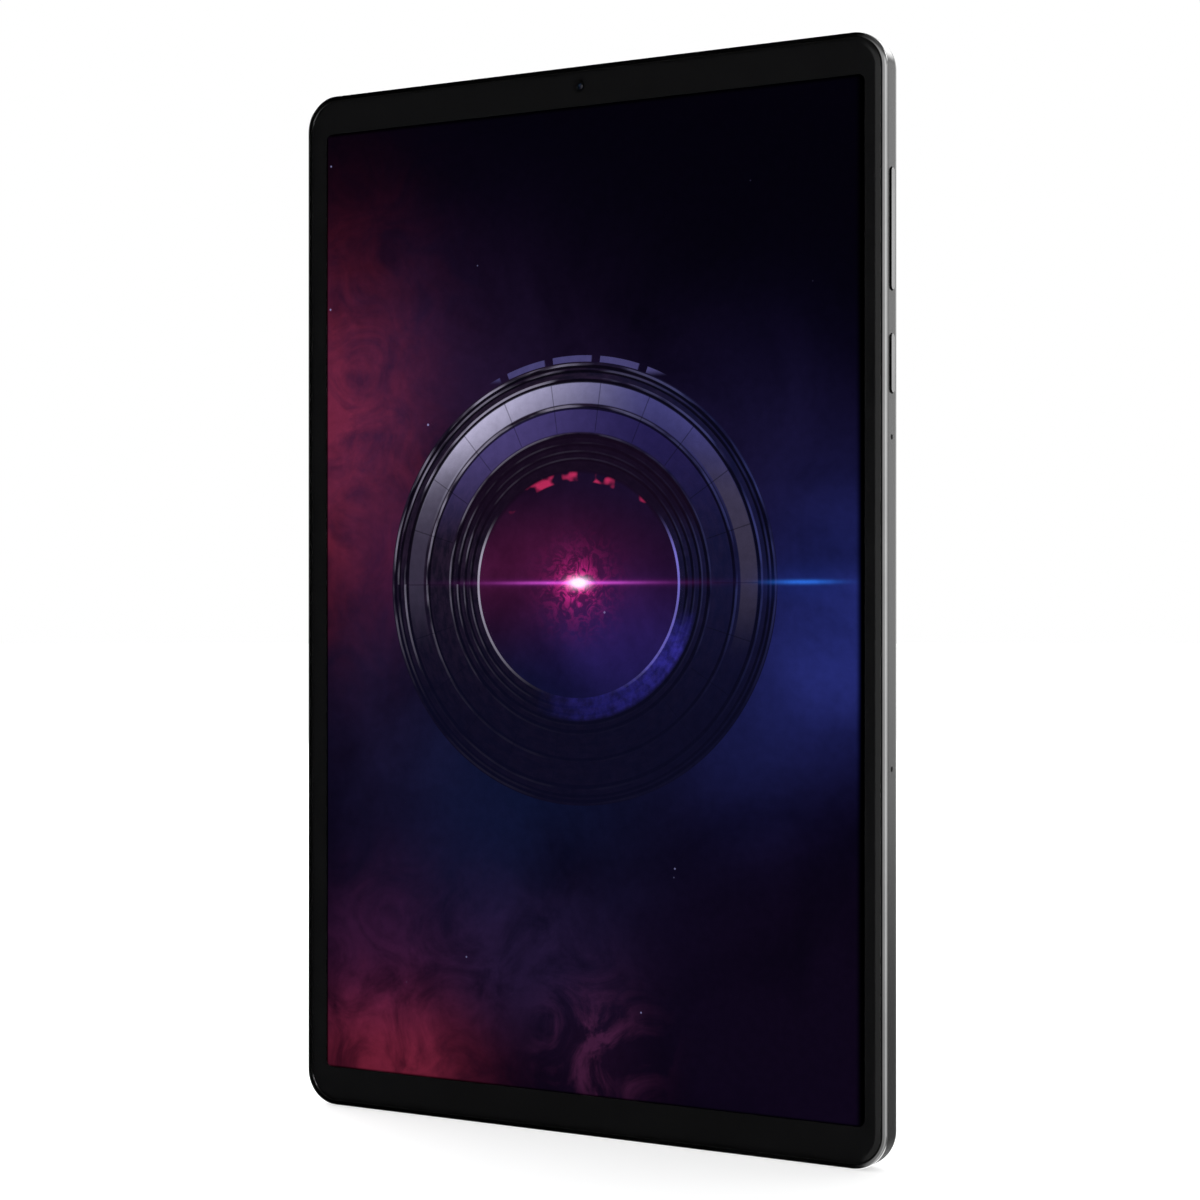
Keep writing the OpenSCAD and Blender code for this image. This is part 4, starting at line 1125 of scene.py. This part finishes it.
def build_meshes():
    """Dust meshes inside the sound slots and a membrane behind each microphone hole."""
    parts = []
    for z, x in ((2.4, BOTTOM_SLOTS_X), (TOP_Z - 2.4, TOP_SLOTS_X)):
        mesh = slab((x, SLOTS_Y), (10, 0.9), 0.3, 0)
        parts.append(soft_prism("mesh", mesh, "z", z - 0.1, z + 0.1, 0.03))
    parts.append(soft_prism("mesh", disc(END_MIC, 0.8), "z", 2.0, 2.15, 0.02))
    for z in SIDE_MIC_ZS:
        parts.append(soft_prism("mesh", disc((KEY_Y, z), 0.7), "x", HALF_W - 1.35, HALF_W - 1.5, 0.02))
    piece = finished(joined("sound_meshes", parts), "tablet_body", [], "steel_sheet")
    piece.data.materials[0] = woven("sound_mesh")
    return piece


def woven(name):
    """A fine black woven mesh."""
    g = Graph(name)
    x, y, z = g.split(g.place((9, 9, 9)))
    across = g.math("ABSOLUTE", g.math("SINE", g.times(g.add(x, z), 3.1416)))
    along = g.math("ABSOLUTE", g.math("SINE", g.times(y, 3.1416)))
    height = g.math("MAXIMUM", across, along)
    colour = g.mix(g.step(height, 0.6, 0.95), grey(6), grey(44))
    return g.paint(colour, g.step(height, 0.5, 1.0, 0.8, 0.4), g.bump(height, 0.03), Metallic=0.6)


def build_all():
    build_shell()
    build_mid_frame()
    build_glass()
    build_key("volume_key", (-7.4, 7.4))
    build_key("power_key", (0,))
    build_domes("volume_snap_domes", "volume_domes", 2)
    build_domes("power_snap_dome", "power_dome", 1)
    build_haptic_spring("haptic_spring_left", -1)
    build_haptic_spring("haptic_spring_right", 1)
    build_faceplate()
    build_island()
    build_windows()
    build_rear_lens()
    build_front_camera()
    build_usb()
    build_tongue()
    build_contacts()
    build_antenna()
    build_meshes()


def dress_cad():
    """Gives each CAD node that still shows its slot's material."""
    for part in frame["record"]["subparts"]:
        node = frame["nodes"][part["node"]]
        slot = part["material_slot"]
        node.data.materials.clear()
        node.data.materials.append(FINISHES[slot])


# ---------------------------------------------------------------- studio

FLOOR_REACH = 6.0

# how bright each part of the world is in reflections
WALL_LIGHT = 0.72
STRIP_LIGHT = 3.0
GROUND_LIGHT = 2.4
PANEL_LIGHT = 1.0
LOW_LIGHT = 0.46
LEFT_LIGHT = 0.35

# the camera, and its turn about the vertical in degrees
LENS_MM = 72.9
CAMERA_PLACE = (0.2319, -0.4075, 0.1026)
CAMERA_TURN = 29.34


def build_floor():
    """A wide pale floor with a slight fall at its far edge, so that no line shows against the background."""
    steps, around = 40, 64
    verts, faces = [], []
    for i in range(steps + 1):
        radius = FLOOR_REACH * (i / steps) ** 1.5
        verts += [(x, y, -0.002 * radius) for x, y in circle((0, 0), radius, around)]
    for i in range(steps):
        for k in range(around):
            j = (k + 1) % around
            here, there = i * around, (i + 1) * around
            faces.append((here + k, here + j, there + j, there + k))
    floor = made("studio_floor", verts, faces)
    g = Graph("studio_floor")
    fine = g.noise(g.place(), 0.02, 3.0)
    colour = g.mix(fine, grey(236), grey(240))
    floor.data.materials.append(g.done(g.surface(Base_Color=colour, Roughness=0.9, Specular_IOR_Level=0.0,
                                                 Emission_Color=(1, 1, 1, 1), Emission_Strength=0.5)))
    floor.visible_glossy = False


def build_world():
    """White to the eye. In reflections a dark wedge lies where the screen looks, so that it stays black.

    A bearing of 0 degrees is straight into that wedge. Right of it a tall bright panel lights the lip.
    Behind the tablet an even wall lights its side, with a bright strip high up and a pale floor low down.
    """
    world = bpy.data.worlds.new("studio")
    bpy.context.scene.world = world
    world.use_nodes = True
    g = Graph("studio", world.node_tree)
    x, y, z = g.split(g.out("TexCoord", output="Generated"))
    turn = math.radians(CAMERA_TURN)
    ahead = g.add(g.times(x, -math.sin(turn)), g.times(y, -math.cos(turn)))
    aside = g.add(g.times(x, math.cos(turn)), g.times(y, -math.sin(turn)))
    bearing = g.times(g.math("ARCTAN2", aside, ahead), 180 / math.pi)
    wall = g.times(g.step(z, -0.19, -0.01, 0.07, 1.0), g.step(z, 0.27, 0.33, 1.0, 0.3), WALL_LIGHT)
    strip = g.times(g.band(z, 0.42, 0.62, 0.06), STRIP_LIGHT)
    ground = g.times(g.fall(z, -0.62, -0.5), GROUND_LIGHT)
    behind = g.add(g.step(bearing, 130, 160), g.fall(bearing, -95, -65))
    panel = g.times(g.band(bearing, 58, 80, 9), PANEL_LIGHT)
    low = g.times(g.add(g.band(bearing, 20, 56, 11), g.band(bearing, 122, 140, 12)), LOW_LIGHT)
    left = g.times(g.step(bearing, -172, -160), g.fall(bearing, -95, -65), LEFT_LIGHT)
    tall = g.times(g.step(z, -0.35, 0.05, 0.55, 1.0), g.step(z, 0.35, 0.6, 1.0, 0.1))
    around = g.add(g.times(g.add(wall, strip, ground), behind), g.times(left, tall),
                   g.times(g.add(panel, low), tall))
    paths = g.node("LightPath").outputs
    soft = g.mix(paths["Is Diffuse Ray"], g.join(around, around, around), grey(206))
    seen = g.mix(paths["Is Camera Ray"], soft, (1, 1, 1, 1))
    light = g.out("Background", {"Color": seen, "Strength": 1.0})
    g.node("OutputWorld", {"Surface": light})


def soft_light(name, place, target, size, power):
    """An area lamp that neither the camera nor a mirror sees."""
    data = bpy.data.lights.new(name, "AREA")
    data.shape = "RECTANGLE"
    data.size, data.size_y = size
    data.energy = power
    lamp = added(name, data)
    lamp.location = place
    lamp.rotation_euler = (Vector(target) - Vector(place)).to_track_quat("-Z", "Y").to_euler()
    lamp.visible_camera = False
    lamp.visible_glossy = False
    return lamp


def build_lights():
    middle = (0, 0, MID_Z * MM)
    soft_light("left_softbox", (-0.9, 0.25, 0.5), middle, (0.5, 0.8), 4)
    soft_light("front_fill", (1.1, -0.7, 0.5), middle, (0.6, 0.6), 3)
    soft_light("rear_softbox", (-0.5, 1.0, 0.6), middle, (0.8, 0.8), 9)


def build_camera():
    data = bpy.data.cameras.new("camera")
    data.lens = LENS_MM
    data.sensor_width = 36
    data.clip_start = 0.01
    camera = added("camera", data)
    camera.location = CAMERA_PLACE
    camera.rotation_euler = (math.radians(90), 0, math.radians(CAMERA_TURN))
    bpy.context.scene.camera = camera


dress_cad()
build_all()
build_floor()
build_world()
build_lights()
build_camera()
bpy.context.scene.view_settings.view_transform = "Standard"
